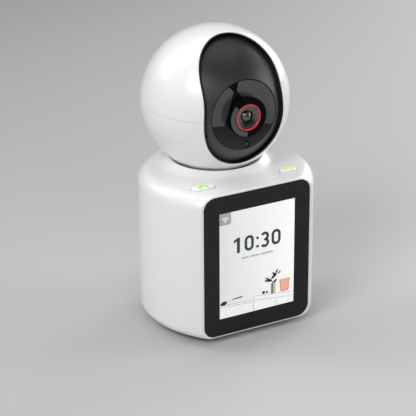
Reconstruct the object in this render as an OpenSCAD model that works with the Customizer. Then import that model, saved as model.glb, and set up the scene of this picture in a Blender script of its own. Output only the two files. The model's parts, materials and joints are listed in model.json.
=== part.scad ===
// Smart home hub for a desk: a barrel shaped housing with an upright touch display in its
// flat front, two call keys on top, and a ball head that pans on the housing while the
// camera eye tilts inside the ball behind an egg shaped window.
// Millimetres. Origin on the pan axis at the desk, +Z up, the display faces -Y.

/* [Housing] */
// half width of the housing at its widest
body_half_w = 44.4; // [36:0.1:56]
// radius of the two side walls seen from above
side_r = 50.0; // [46:0.5:120]
// depth position of the widest place, behind the display
body_cy = -10.2; // [-20:0.1:10]
// front plane of the housing
front_y = -43.6; // [-60:0.1:-30]
// top face of the housing
body_top = 81.6; // [70:0.1:100]
// underside of the housing shell
body_bottom = 3.2; // [2:0.1:6]
// rounding along the roof's edge
edge_r = 7.0; // [3:0.1:10]
// rounding along the lower edge
low_r = 5.4; // [3:0.1:10]
// wall thickness of the housing
body_wall = 2.4; // [1.5:0.1:4]

/* [Display] */
// width of the front glass
glass_w = 60.9; // [50:0.1:64]
// height of the front glass
glass_h = 76.3; // [60:0.1:78]
// thickness of the front glass
glass_t = 1.1; // [0.7:0.1:2]
// corner radius of the front glass
glass_r = 6.3; // [2:0.1:12]
// height of the display centre
screen_z = 42.3; // [35:0.1:50]
// outer width of the display panel
panel_w = 50.0; // [40:0.1:56]
// outer height of the display panel
panel_h = 69.2; // [50:0.1:72]

/* [Keys] */
// half distance between the two call keys
key_x = 24.4; // [18:0.1:28]
// depth position of the keys
key_y = -32.0; // [-36:0.1:-28]
// length of the answer key
call_len = 12.4; // [8:0.1:14]
// length of the hang up key
hang_len = 8.8; // [7:0.1:14]
// width of both keys
key_w = 5.2; // [4:0.1:7]
// key top above the housing
key_proud = 0.9; // [0.3:0.1:2]

/* [Ball head] */
// outer radius of the ball
ball_r = 37.83; // [30:0.01:45]
// height of the ball centre and tilt axis
ball_z = 115.0; // [105:0.5:130]
// wall of the ball shells
ball_wall = 1.8; // [1.2:0.1:3]
// mean half opening of the window in degrees
window_half = 47.8; // [35:0.1:55]
// how much taller than wide the window is, in degrees
window_tall = 12.1; // [0:0.1:16]
// pointed top of the window, in degrees
window_point = 0.9; // [0:0.1:3]
// upward tilt of the window
window_tilt = 14.0; // [0:0.5:30]

/* [Camera eye] */
// radius of the black eye drum
drum_r = 35.0; // [28:0.1:36]
// half width of the eye drum
drum_half = 25.5; // [22:0.1:28]
// distance of the flat eye face from the tilt axis
face_y = 29.65; // [25:0.05:32]
// front of the lens cap from the tilt axis
barrel_y = 34.2; // [30:0.1:35]
// outer radius of the cap round the lens
cap_r = 10.3; // [8:0.1:12]
// outer radius of the lens barrel behind the cap
barrel_r = 9.0; // [8:0.1:10]
// rear face of the cap from the tilt axis
cap_rear = 32.5; // [31:0.1:33]
// outer radius of the red lens ring
ring_r = 7.0; // [5:0.1:9]

/* [Gears] */
// module of the pan gears
pan_m = 0.6; // [0.4:0.1:1]
// teeth of the pan gear
pan_teeth = 60; // [40:1:70]
// module of the tilt gears
tilt_m = 0.5; // [0.4:0.1:1]
// teeth of the fixed tilt gear
tilt_teeth = 36; // [30:1:40]
// teeth of both pinions
pinion_teeth = 12; // [10:1:16]

/* [Hidden] */
$fn = 96;
side_cx = body_half_w - side_r;
eps = 0.01;
// the dish in the roof follows the ball with a small even gap
dish_r = ball_r + 1.07;
dish_under_r = dish_r + 2.2;
collar_r = 24.0;
collar_out_r = 31.3;
collar_h = 2.85;
collar_low = body_top - 2.0;
neck_r = 11.0;
neck_hole_r = 11.6;
neck_low = 69.0;
ball_flat_z = 79.0;
ball_in_r = ball_r - ball_wall;
journal_r = 7.0;
cable_r = 4.5;
gear_low = 64.0;
gear_high = 68.0;
deck_low = 58.0;
deck_high = 61.0;
pan_centre = pan_m * (pan_teeth + pinion_teeth) / 2;
tilt_centre = tilt_m * (tilt_teeth + pinion_teeth) / 2;
tilt_motor_angle = 60;
gear_pressure = 25;
// screw places
cover_boss = [[31, -14], [-31, -14], [13.6, 19.4], [-13.6, 19.4]];
deck_boss = [[30, -8], [-30, -8], [20.6, 19.4], [-20.6, 19.4]];
board_hole = [[23, -29], [-23, -29], [23, 8], [-23, 8]];
panel_screw = [[28.2, 12], [-28.2, 12], [28.2, 72], [-28.2, 72]];
sign_out_r = 2.7;
sign_in_r = 1.3;
key_gap = 0.2;
key_screw_x = 12;
key_screw_y = -33;
speaker_z = 26.8;
speaker_front = 27.3;
speaker_r = 12.0;
speaker_ear_x = 15.5;
usb_z = 11.25;
cover_low = 1.6;
cover_top = 4.7;
cover_seat = 3.4;
foot_h = 2.2;
board_low = 8.0;
board_high = 9.6;
key_board_low = 71.0;
key_board_high = 72.6;
roof_in = body_top - body_wall;
bracket_in = 28.8;
bracket_out = 30.6;
bracket_hole_r = 14.0;
bracket_angles = [-30, -90, -150];
ball_screw_x = 12;
ball_screw_y = 30;
face_rec = 1.2;
wall_in_y = 26.6;
post_x = 11.5;
post_z = 11.0;
led_places = [[-14.4, 1.5], [-13.4, 7.5], [14.3, 1.5], [13.2, 7.6], [7.2, 13.2], [2.2, 14.8]];
sensor_x = 1.3;
sensor_z = -15.75;
mic_x = -20.0;
mic_down = 16.7;
mic_r = 1.9;
plate_r = 18.2;
window_out_r = 17.9;
window_in_r = 9.5;
// shallow dome of the front lens
lens_dome_r = 30.0;
lens_front_y = 34.0;
lens_edge_r = 6.05;
spigot_r = 7.9;
// fasteners and posts
cover_boss_r = 3.2;
cover_boss_h = 13;
rib_t = 1.6;
rib_len = 20;
rib_h = 10.9;
deck_boss_r = 3.5;
pilot_r = 1.05;
pilot_h = 11;
grille_step = 2.8;
grille_hole_r = 0.75;
usb_face_y = 33.4;
panel_rear_y = -39.85;
bracket_rear_y = -38.8;
lens_seat_y = 30.8;
barrel_rear = 22;
ring_seat_y = 33.5;
flange_rear = 25.3;
flange_r = 12;
ring_in_r = 6.1;
mic_low = 31.6;
mic_y = 28.7;
drum_wall = 1.8;
board_face = 18.6;
post_r = 1.8;
led_board_y = 25.6;
led_hole_r = 1.6;
sensor_r = 1.9;
pin_r = 3.0;
window_rec = 0.55;
bracket_r = 16.4;
tilt_gear_x = 26.1;
tilt_gear_w = 2.4;
motor_boss_r = 4.5;
motor_ear_x = 12.6;
motor_r = 10;
gear_screw_r = 8.8;

// ---------- helpers ----------

// stands a flat shape up facing the front and thickens it towards -Y from y0
module to_front(y0) {
  translate([0, y0, 0]) rotate([90, 0, 0]) children();
}

// lays a solid along +X from x0, flat x to depth and flat y to height
module along_x(x0) {
  translate([x0, 0, 0]) rotate([90, 0, 90]) children();
}

module round_rect(w, h, r) {
  union() {
    square([w - 2 * r, h], center = true);
    square([w, h - 2 * r], center = true);
    for (sx = [-1, 1], sy = [-1, 1]) {
      translate([sx * (w / 2 - r), sy * (h / 2 - r)]) circle(r = r);
    }
  }
}

module pill(len, w) {
  union() {
    square([len - w, w], center = true);
    translate([(len - w) / 2, 0]) circle(d = w);
    translate([-(len - w) / 2, 0]) circle(d = w);
  }
}

// plan outline of the housing, moved in by d, with its own front line
module plan(d, fy) {
  union() {
    intersection() {
      translate([side_cx, body_cy]) circle(r = side_r - d, $fn = 180);
      translate([-side_cx, body_cy]) circle(r = side_r - d, $fn = 180);
      translate([-70, fy]) square([140, body_cy - fy]);
    }
    intersection() {
      translate([0, body_cy]) circle(r = body_half_w - d, $fn = 180);
      translate([-70, body_cy]) square([140, 70]);
    }
  }
}

// disc with rounded rim, the building stone of the housing
module rim_disc(r, z0, z1, f0, f1) {
  rotate_extrude($fn = 180) {
    union() {
      translate([0, z0]) square([r - max(f0, f1), z1 - z0]);
      translate([0, z0]) square([r - f0, f0 + 1]);
      translate([0, z1 - f1 - 1]) square([r - f1, f1 + 1]);
      translate([0, z0 + f0]) square([r, z1 - z0 - f0 - f1]);
      translate([r - f0, z0 + f0]) circle(r = f0);
      translate([r - f1, z1 - f1]) circle(r = f1);
    }
  }
}

// the barrel shape moved in by d, f0 its lower and f1 its upper rounding
module body_solid(d, z0, z1, f0, f1, fy) {
  union() {
    intersection() {
      translate([side_cx, body_cy, 0]) rim_disc(side_r - d, z0, z1, f0, f1);
      translate([-side_cx, body_cy, 0]) rim_disc(side_r - d, z0, z1, f0, f1);
      translate([-70, fy, z0 - 1]) cube([140, body_cy - fy, z1 - z0 + 2]);
    }
    intersection() {
      translate([0, body_cy, 0]) rim_disc(body_half_w - d, z0, z1, f0, f1);
      translate([-70, body_cy, z0 - 1]) cube([140, 70, z1 - z0 + 2]);
    }
  }
}

function inv_deg(r, rb) = r <= rb ? 0 : tan(acos(rb / r)) * 180 / PI - acos(rb / r);

// involute spur gear outline with running backlash
module gear_flat(m, z, lash) {
  rp = m * z / 2;
  rb = rp * cos(gear_pressure);
  ra = rp + 0.95 * m;
  rf = rp - 1.25 * m;
  half_p = 90 / z - lash / rp * 90 / PI + inv_deg(rp, rb);
  r1 = max(rb, rf) + 0.001;
  r2 = (r1 + rp) / 2;
  r3 = (rp + ra) / 2;
  polygon(points = [
    for (i = [0 : z - 1])
      for (s = [
        [rf, -1, r1], [r1, -1, r1], [r2, -1, r2], [rp, -1, rp], [r3, -1, r3], [ra, -1, ra],
        [ra, 1, ra], [r3, 1, r3], [rp, 1, rp], [r2, 1, r2], [r1, 1, r1], [rf, 1, r1]
      ])
        let (a = i * 360 / z + s[1] * (half_p - inv_deg(s[2], rb)))
          [s[0] * cos(a), s[0] * sin(a)]
  ]);
}

// pan head screw pointing +Z, the seat of its head at z = 0
module screw(rh, hh, rs, len) {
  difference() {
    union() {
      translate([0, 0, -hh]) cylinder(r = rh, h = hh, $fn = 32);
      translate([0, 0, -eps]) cylinder(r = rs, h = len + eps, $fn = 24);
    }
    translate([-rh * 0.62, -rh * 0.14, -hh - 1]) cube([rh * 1.24, rh * 0.28, 1 + hh * 0.5]);
    translate([-rh * 0.14, -rh * 0.62, -hh - 1]) cube([rh * 0.28, rh * 1.24, 1 + hh * 0.5]);
  }
}

// egg outline of the window on the ball, grown by g millimetres
module window_flat(g) {
  polygon(points = [
    for (i = [0 : 71])
      let (
        t = i * 5,
        p = window_half + window_tall * cos(2 * t) + window_point * cos(3 * t),
        s = ball_r * sin(p) + g
      )
        [s * sin(t), s * cos(t)]
  ]);
}

module window_prism(g, deep) {
  translate([0, 0, ball_z]) {
    rotate([-window_tilt, 0, 0]) {
      to_front(-deep) linear_extrude(height = 50 - deep) window_flat(g);
    }
  }
}

module at_ball() {
  translate([0, 0, ball_z]) children();
}

// ---------- housing ----------

module collar_solid() {
  rotate_extrude() {
    polygon(points = concat(
      [[20, collar_low], [20, body_top + collar_h], [collar_r + 0.3, body_top + collar_h]],
      [for (i = [0 : 8]) let (t = i / 8)
        [collar_r + 0.7 + (collar_out_r - collar_r - 0.7) * t,
         body_top + (collar_h - 0.15) * (1 - t) * (1 - t)]],
      [[collar_out_r, collar_low]]
    ));
  }
}

module shell_bosses() {
  intersection() {
    body_solid(1.2, body_bottom + 1.2, body_top - 1.2, low_r - 1.2, edge_r - 1.2,
      front_y + 1.2);
    union() {
      for (p = deck_boss) {
        translate([p[0], p[1], deck_high]) cylinder(r = deck_boss_r, h = 24, $fn = 48);
      }
      for (p = cover_boss) {
        translate([p[0], p[1], cover_top]) cylinder(r = cover_boss_r, h = cover_boss_h, $fn = 48);
      }
      for (s = [-1, 1]) {
        translate([s * 31, -14, cover_top + 2.1]) translate([s > 0 ? 0 : -rib_len, -rib_t / 2, 0])
          cube([rib_len, rib_t, rib_h]);
        translate([s * 13.6, 19.4, cover_top + 2.1]) rotate([0, 0, 90 - s * 24.7])
          translate([0, -rib_t / 2, 0]) cube([rib_len, rib_t, rib_h]);
        translate([s * key_screw_x, key_screw_y, key_board_high])
          cylinder(r = 2.4, h = 12, $fn = 40);
        translate([s * speaker_ear_x, speaker_front, speaker_z]) rotate([-90, 0, 0])
          cylinder(r = 2.2, h = 12, $fn = 40);
      }
      for (p = panel_screw) {
        translate([p[0], -39.8, p[1]]) rotate([90, 0, 0]) cylinder(r = 2.2, h = 3, $fn = 40);
      }
    }
  }
}

module shell_pilots() {
  for (p = deck_boss) {
    translate([p[0], p[1], deck_high - 1]) cylinder(r = pilot_r, h = pilot_h, $fn = 24);
  }
  for (p = cover_boss) {
    translate([p[0], p[1], cover_top - 1]) cylinder(r = pilot_r, h = pilot_h, $fn = 24);
  }
  for (s = [-1, 1]) {
    translate([s * key_screw_x, key_screw_y, key_board_high - 1])
      cylinder(r = 0.8, h = 6, $fn = 24);
    translate([s * speaker_ear_x, speaker_front - 1, speaker_z]) rotate([-90, 0, 0])
      cylinder(r = 0.8, h = 4.4, $fn = 24);
  }
  for (p = panel_screw) {
    translate([p[0], -39, p[1]]) rotate([90, 0, 0]) cylinder(r = 0.8, h = 3, $fn = 24);
  }
}

module grille_holes() {
  step = grille_step;
  for (i = [-3 : 3]) {
    for (j = [-3 : 3]) {
      if (abs(i + j) <= 3) {
        translate([(i + j / 2) * step, 26, speaker_z + j * step * 0.866])
          rotate([-90, 0, 0]) cylinder(r = grille_hole_r, h = 14, $fn = 20);
      }
    }
  }
}

module body_shell() {
  color("WhiteSmoke") difference() {
    union() {
      difference() {
        union() {
          body_solid(0, body_bottom, body_top, low_r, edge_r, front_y);
          collar_solid();
        }
        difference() {
          body_solid(body_wall, body_bottom + body_wall, roof_in, low_r - body_wall,
            edge_r - body_wall, front_y + 3.0);
          at_ball() sphere(r = dish_under_r, $fn = 180);
        }
      }
      shell_bosses();
    }
    at_ball() sphere(r = dish_r, $fn = 180);
    translate([0, 0, 66]) cylinder(r = neck_hole_r, h = 16);
    translate([0, 0, screen_z]) to_front(front_y + 1.2)
      linear_extrude(height = 4) round_rect(glass_w + 0.2, glass_h + 0.2, glass_r + 0.1);
    translate([0, 0, screen_z]) to_front(front_y + 4)
      linear_extrude(height = 6) square([panel_w + 1, panel_h + 1], center = true);
    translate([0, 0, body_bottom - 1])
      linear_extrude(height = 1 + cover_top - body_bottom) plan(low_r + 1.0, front_y + 5.0);
    difference() {
      translate([0, 0, body_bottom - 1]) linear_extrude(height = 4)
        plan(low_r + 2.8, front_y + 6.6);
      for (p = cover_boss) {
        translate([p[0], p[1], cover_top]) cylinder(r = cover_boss_r, h = cover_boss_h, $fn = 48);
      }
    }
    translate([-key_x, key_y, roof_in - 2]) linear_extrude(height = 8)
      pill(call_len + 2 * key_gap, key_w + 2 * key_gap);
    translate([key_x, key_y, roof_in - 2]) linear_extrude(height = 8)
      pill(hang_len + 2 * key_gap, key_w + 2 * key_gap);
    translate([0, 0, usb_z]) to_front(40) linear_extrude(height = 40 - usb_face_y) pill(12, 6.4);
    translate([0, 0, usb_z]) to_front(40) linear_extrude(height = 9) pill(9.6, 3.9);
    grille_holes();
    shell_pilots();
  }
}

module bottom_cover() {
  color("Gainsboro") difference() {
    union() {
      translate([0, 0, cover_low]) linear_extrude(height = cover_top - cover_low)
        plan(low_r + 1.2, front_y + 5.2);
      difference() {
        translate([0, 0, cover_top - 0.5]) linear_extrude(height = 2)
          plan(low_r + 3.1, front_y + 6.9);
        translate([0, 0, cover_top - 1]) linear_extrude(height = 4)
          plan(low_r + 4.7, front_y + 8.5);
        for (p = cover_boss) {
          translate([p[0], p[1], cover_top - eps]) cylinder(r = 3.7, h = 3, $fn = 40);
        }
      }
      for (p = board_hole) {
        translate([p[0], p[1], cover_top - 0.5])
          cylinder(r = 2.6, h = board_low - cover_top + 0.5, $fn = 40);
      }
    }
    linear_extrude(height = foot_h) foot_ring(0.1);
    for (p = cover_boss) {
      translate([p[0], p[1], 0]) cylinder(r = 1.2, h = 7, $fn = 24);
      translate([p[0], p[1], 0]) cylinder(r = 2.3, h = cover_seat, $fn = 32);
    }
    for (p = board_hole) {
      translate([p[0], p[1], 5]) cylinder(r = 0.8, h = 5, $fn = 24);
    }
    for (i = [-4 : 4]) {
      translate([i * 3.2 - 0.6, -12, 0]) cube([1.2, 12, 8]);
    }
  }
}

// one soft ring under the cover that also hides the cover screws
module foot_ring(g) {
  difference() {
    plan(9.5 - g, front_y + 7 - g);
    plan(15.5 + g, front_y + 13 + g);
  }
}

module rubber_foot() {
  color("DimGray") linear_extrude(height = foot_h) foot_ring(0);
}

module cover_screws() {
  color("Silver") for (p = cover_boss) {
    translate([p[0], p[1], cover_seat]) screw(2.1, 1.1, 1.0, 9.4);
  }
}

module front_glass() {
  color([0.12, 0.12, 0.13]) translate([0, 0, screen_z]) to_front(front_y + 1.2)
    linear_extrude(height = glass_t) round_rect(glass_w, glass_h, glass_r);
}

module display_panel() {
  color("LightSteelBlue") translate([0, 0, screen_z]) difference() {
    to_front(panel_rear_y) linear_extrude(height = 2.5) square([panel_w, panel_h], center = true);
    to_front(-39.0) linear_extrude(height = 1.25)
      square([panel_w - 6, panel_h - 8], center = true);
  }
}

module display_bracket() {
  color("Silver") difference() {
    translate([0, 0, screen_z]) to_front(bracket_rear_y) linear_extrude(height = 1.0) {
      difference() {
        round_rect(62, 68, 3);
        for (sx = [-1, 1], sz = [-1, 0, 1]) {
          translate([sx * 12, sz * 20]) round_rect(17, 14, 2);
        }
        translate([0, -30.4]) square([20, 4], center = true);
      }
    }
    for (p = panel_screw) {
      translate([p[0], -38, p[1]]) rotate([90, 0, 0]) cylinder(r = 1.0, h = 3, $fn = 24);
    }
  }
}

module inner_screws() {
  color("Silver") {
    for (p = panel_screw) {
      translate([p[0], bracket_rear_y, p[1]]) rotate([90, 0, 0]) screw(1.7, 1.0, 0.75, 3.0);
    }
    for (p = board_hole) {
      translate([p[0], p[1], board_high]) rotate([180, 0, 0]) screw(1.9, 1.1, 0.75, 4.4);
    }
    for (s = [-1, 1]) {
      translate([s * key_screw_x, key_screw_y, key_board_low]) screw(1.8, 1.1, 0.75, 6.0);
    }
  }
}

module button_board() {
  color("SeaGreen") difference() {
    translate([-31, -37.2, key_board_low]) cube([62, 9, key_board_high - key_board_low]);
    for (s = [-1, 1]) {
      translate([s * key_screw_x, key_screw_y, 70]) cylinder(r = 0.95, h = 4, $fn = 24);
    }
  }
}

module tact_switches() {
  color("DarkSlateGray") for (s = [-1, 1]) {
    translate([s * key_x - 2.25, key_y - 2.25, key_board_high]) cube([4.5, 4.5, 2.2]);
    translate([s * key_x, key_y, key_board_high + 2]) cylinder(r = 1.1, h = 1.0, $fn = 32);
  }
}

module main_board() {
  color("SeaGreen") difference() {
    translate([0, 0, board_low]) linear_extrude(height = board_high - board_low) union() {
      translate([-27, -33]) square([54, 45]);
      translate([-9, 11]) square([18, 19.2]);
    }
    for (p = board_hole) {
      translate([p[0], p[1], 7]) cylinder(r = 1.0, h = 4, $fn = 24);
    }
  }
}

module shield_can() {
  color("Silver") translate([-19, -27, board_high]) difference() {
    cube([22, 20, 2.4]);
    translate([0.3, 0.3, -1]) cube([21.4, 19.4, 3.1]);
  }
}

module board_chips() {
  color([0.15, 0.15, 0.16]) {
    translate([-15, -24, board_high]) cube([14, 14, 1.3]);
    translate([8, -29, board_high]) cube([9, 12, 1.1]);
    translate([8, -14, board_high]) cube([9, 12, 1.1]);
    translate([-16, -2, board_high]) cube([7, 7, 1.0]);
    translate([-5, 0, board_high]) cube([5, 6, 1.2]);
  }
}

module heat_sink() {
  color("DarkGray") translate([-18, -26, board_high + 2.4]) union() {
    cube([20, 18, 1.2]);
    for (i = [0 : 6]) {
      translate([i * 3.1, 0, 1.0]) cube([1.2, 18, 4.4]);
    }
  }
}

module header(w) {
  difference() {
    cube([w, 5, 4.2]);
    translate([0.7, -1, 0.9]) cube([w - 1.4, 5.3, 2.6]);
  }
}

module board_connectors() {
  color("Ivory") {
    translate([-6, -32.6, board_high]) header(13);
    translate([19, -16, board_high]) header(7);
    translate([8, 2, board_high]) header(9);
    translate([21, -8, board_high]) header(5);
  }
}

module usb_port() {
  color("Silver") translate([0, 0, usb_z]) difference() {
    to_front(usb_face_y) linear_extrude(height = 8) pill(9, 3.3);
    to_front(34) linear_extrude(height = 8) pill(8.3, 2.6);
  }
}

module usb_tongue() {
  color("Black") translate([0, 0, usb_z]) to_front(32.6)
    linear_extrude(height = 6.6) square([6.6, 0.7], center = true);
}

module wifi_antenna() {
  color("Goldenrod") difference() {
    translate([-26.4, -27, board_high]) cube([0.8, 24, 10]);
    for (i = [0 : 3]) {
      translate([-27, -24 + i * 5.4, board_high + 3]) cube([2, 2.2, 6]);
    }
  }
}

// ---------- loudspeaker ----------

module speaker_frame() {
  color([0.2, 0.2, 0.21]) translate([0, 0, speaker_z]) difference() {
    union() {
      to_front(speaker_front) cylinder(r = speaker_r, h = 6.8);
      to_front(speaker_front) linear_extrude(height = 1.5) pill(35, 5.6);
    }
    to_front(speaker_front + 1) cylinder(r = speaker_r - 1.3, h = 6.2);
    to_front(speaker_front + 1) cylinder(r = 4.4, h = 9);
    for (s = [-1, 1]) {
      translate([s * speaker_ear_x, 0, 0]) to_front(speaker_front + 1)
        cylinder(r = 0.95, h = 6, $fn = 24);
    }
    for (a = [0 : 60 : 300]) {
      rotate([0, a, 0]) translate([7.6, 0, 0]) to_front(speaker_front)
        cylinder(r = 1.5, h = 9, $fn = 24);
    }
  }
}

module speaker_magnet() {
  color("DimGray") translate([0, 0, speaker_z]) {
    to_front(speaker_front - 6.8) cylinder(r = 8.0, h = 5);
    to_front(speaker_front - 4.8) cylinder(r = 3.0, h = 2.4, $fn = 48);
  }
}

module speaker_cone() {
  color([0.25, 0.25, 0.27]) translate([0, speaker_front, speaker_z]) rotate([90, 0, 0])
    rotate_extrude() polygon(points = [
      [0, 3.9], [0, 3.5], [1.6, 3.3], [3.0, 2.9], [3.0, 2.6], [9.2, 0.6], [speaker_r - 1.3, 0.4],
      [speaker_r - 1.3, 0.8], [9.4, 1.0], [3.4, 3.0], [3.4, 4.6], [3.1, 4.6], [3.1, 3.3], [1.7, 3.7]
    ]);
}

module speaker_gasket() {
  color("Black") intersection() {
    translate([0, 0, speaker_z]) difference() {
      to_front(speaker_front + 8) cylinder(r = speaker_r, h = 8);
      to_front(speaker_front + 9) cylinder(r = speaker_r - 1.4, h = 10);
    }
    translate([0, body_cy, 0]) cylinder(r = body_half_w - body_wall - 0.02, h = 60, $fn = 180);
  }
}

module speaker_screws() {
  color("Silver") for (s = [-1, 1]) {
    translate([s * speaker_ear_x, speaker_front - 1.5, speaker_z]) rotate([-90, 0, 0])
      screw(1.8, 1.0, 0.75, 4.6);
  }
}

// ---------- pan drive ----------

module pan_deck() {
  color("LightGray") difference() {
    union() {
      translate([0, 0, deck_low]) linear_extrude(height = deck_high - deck_low) union() {
        translate([0, 4]) circle(r = 24);
        translate([-34, -13]) square([68, 10]);
        for (s = [-1, 1]) {
          translate([s * 20.6, 19.4]) circle(r = 5);
        }
      }
      translate([0, 0, 56]) cylinder(r = 11, h = 6.9);
      for (a = [-60, 0, 60]) {
        rotate([0, 0, a - 90]) translate([10, -0.8, deck_high - eps]) cube([8.5, 1.6, 1.4]);
      }
    }
    translate([0, 0, 50]) cylinder(r = 8.5, h = 20);
    translate([0, pan_centre, 50]) cylinder(r = motor_boss_r + 0.1, h = 20, $fn = 48);
    for (p = deck_boss) {
      translate([p[0], p[1], 50]) cylinder(r = 1.15, h = 20, $fn = 24);
    }
    for (s = [-1, 1]) {
      translate([s * motor_ear_x, pan_centre, 50]) cylinder(r = 0.85, h = 20, $fn = 24);
      translate([s * 16, 2, 50]) cylinder(r = 2.6, h = 20, $fn = 32);
    }
  }
}

module deck_screws() {
  color("Silver") {
    for (p = deck_boss) {
      translate([p[0], p[1], deck_low]) screw(2.1, 1.3, 1.0, 11.5);
    }
    for (s = [-1, 1]) {
      translate([s * motor_ear_x, pan_centre, deck_low - 0.8]) screw(1.7, 1.0, 0.8, 3.8);
    }
  }
}

module pan_bush() {
  color("Goldenrod") difference() {
    union() {
      translate([0, 0, 55.5]) cylinder(r = 8.5, h = 7.5);
      translate([0, 0, 62.9]) cylinder(r = 10.5, h = 1.05);
    }
    translate([0, 0, 50]) cylinder(r = journal_r + 0.03, h = 20);
  }
}

module pan_motor() {
  color("Gray") translate([0, pan_centre, 0]) difference() {
    union() {
      translate([0, 0, 40]) cylinder(r = motor_r, h = 17.3);
      translate([0, 0, deck_low - 0.8]) linear_extrude(height = 0.8) union() {
        circle(r = motor_r);
        pill(31, 5.4);
      }
      translate([0, 0, deck_low - eps]) cylinder(r = motor_boss_r, h = 2.6, $fn = 48);
      translate([-5, -11.2, 42]) cube([10, 3, 5]);
    }
    translate([0, 0, 44]) cylinder(r = 1.06, h = 30, $fn = 32);
    for (s = [-1, 1]) {
      translate([s * motor_ear_x, 0, 50]) cylinder(r = 0.9, h = 20, $fn = 24);
    }
  }
}

module pan_pinion() {
  color("Silver") translate([0, pan_centre, 0]) union() {
    translate([0, 0, gear_low - 0.4]) rotate([0, 0, 180 / pinion_teeth])
      linear_extrude(height = 4.8) gear_flat(pan_m, pinion_teeth, 0.1);
    translate([0, 0, 44.4]) cylinder(r = 1.0, h = gear_high - 43.6, $fn = 32);
    translate([0, 0, deck_high + 0.4]) cylinder(r = 2.2, h = gear_low - deck_high, $fn = 32);
  }
}

module pan_gear() {
  color("Ivory") difference() {
    union() {
      translate([0, 0, gear_low]) linear_extrude(height = gear_high - gear_low)
        gear_flat(pan_m, pan_teeth, 0.1);
      translate([0, 0, gear_high - eps]) cylinder(r = neck_r, h = neck_low - gear_high + eps);
      translate([0, 0, 53.6]) cylinder(r = journal_r, h = 12);
    }
    translate([0, 0, 50]) cylinder(r = cable_r, h = 30, $fn = 48);
    for (a = [0, 120, 240]) {
      rotate([0, 0, a]) translate([gear_screw_r, 0, 60]) cylinder(r = 1.05, h = 12, $fn = 24);
      rotate([0, 0, a]) translate([gear_screw_r, 0, gear_low - 1]) cylinder(r = 1.7, h = 2.6, $fn = 32);
    }
    translate([0, 0, 54.6]) difference() {
      cylinder(r = journal_r + 1, h = 0.8);
      translate([0, 0, -1]) cylinder(r = 6.2, h = 3);
    }
    for (a = [30 : 60 : 330]) {
      rotate([0, 0, a]) translate([14, 0, 60]) cylinder(r = 2.0, h = 12, $fn = 32);
    }
  }
}

module gear_screws() {
  color("Silver") for (a = [0, 120, 240]) {
    rotate([0, 0, a]) translate([gear_screw_r, 0, gear_low + 1.6]) screw(1.6, 1.1, 0.85, 8.2);
  }
}

module pan_clip() {
  color("DarkGray") difference() {
    translate([0, 0, 54.65]) cylinder(r = 9.0, h = 0.7);
    translate([0, 0, 54]) cylinder(r = 6.21, h = 3);
    translate([-2.6, 0, 54]) cube([5.2, 12, 3]);
  }
}

// ---------- call keys ----------

module key_solid(len) {
  union() {
    translate([0, 0, 76.9]) linear_extrude(height = body_top + key_proud - 76.9)
      pill(len, key_w);
    translate([0, 0, 76.9]) linear_extrude(height = 2.2) pill(len + 1.4, key_w + 1.4);
    translate([0, 0, 76.2]) cylinder(r = 1.3, h = 1, $fn = 32);
  }
}

// plain handset sign: an arch with two short ends
module handset() {
  translate([0, -0.7]) union() {
    intersection() {
      difference() {
        circle(r = sign_out_r);
        circle(r = sign_in_r);
      }
      translate([-3, -0.05]) square([6, 3]);
    }
    for (s = [-1, 1]) {
      translate([s * (sign_out_r + sign_in_r) / 2, -0.6])
        square([sign_out_r - sign_in_r, 1.2], center = true);
    }
  }
}

module icon_pocket() {
  translate([0, 0, body_top + key_proud - 0.2]) linear_extrude(height = 1) handset();
}

module call_button() {
  color("White") translate([-key_x, key_y, 0]) difference() {
    key_solid(call_len);
    icon_pocket();
  }
}

module call_icon() {
  color("LimeGreen") translate([-key_x, key_y, body_top + key_proud - 0.2])
    linear_extrude(height = 0.24) handset();
}

module hangup_button() {
  color("White") translate([key_x, key_y, 0]) difference() {
    key_solid(hang_len);
    icon_pocket();
  }
}

module hangup_icon() {
  color("Gold") translate([key_x, key_y, body_top + key_proud - 0.2])
    linear_extrude(height = 0.24) handset();
}

// ---------- ball ----------

module seam_groove() {
  rotate_extrude($fn = 180) translate([ball_r - 0.3, -0.15]) square([1, 0.3]);
}

module ball_screw_posts(z0, h, r) {
  for (s = [-1, 1]) {
    translate([s * ball_screw_x, ball_screw_y, z0]) cylinder(r = r, h = h, $fn = 40);
  }
}

module ball_upper_shell() {
  color("White") difference() {
    at_ball() difference() {
      intersection() {
        sphere(r = ball_r, $fn = 180);
        translate([-50, -50, 0]) cube([100, 100, 60]);
      }
      difference() {
        sphere(r = ball_in_r, $fn = 180);
        ball_screw_posts(-1, 9, 3.0);
      }
      seam_groove();
      ball_screw_posts(-1, 7, 0.85);
    }
    window_prism(0, 6);
  }
}

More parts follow.
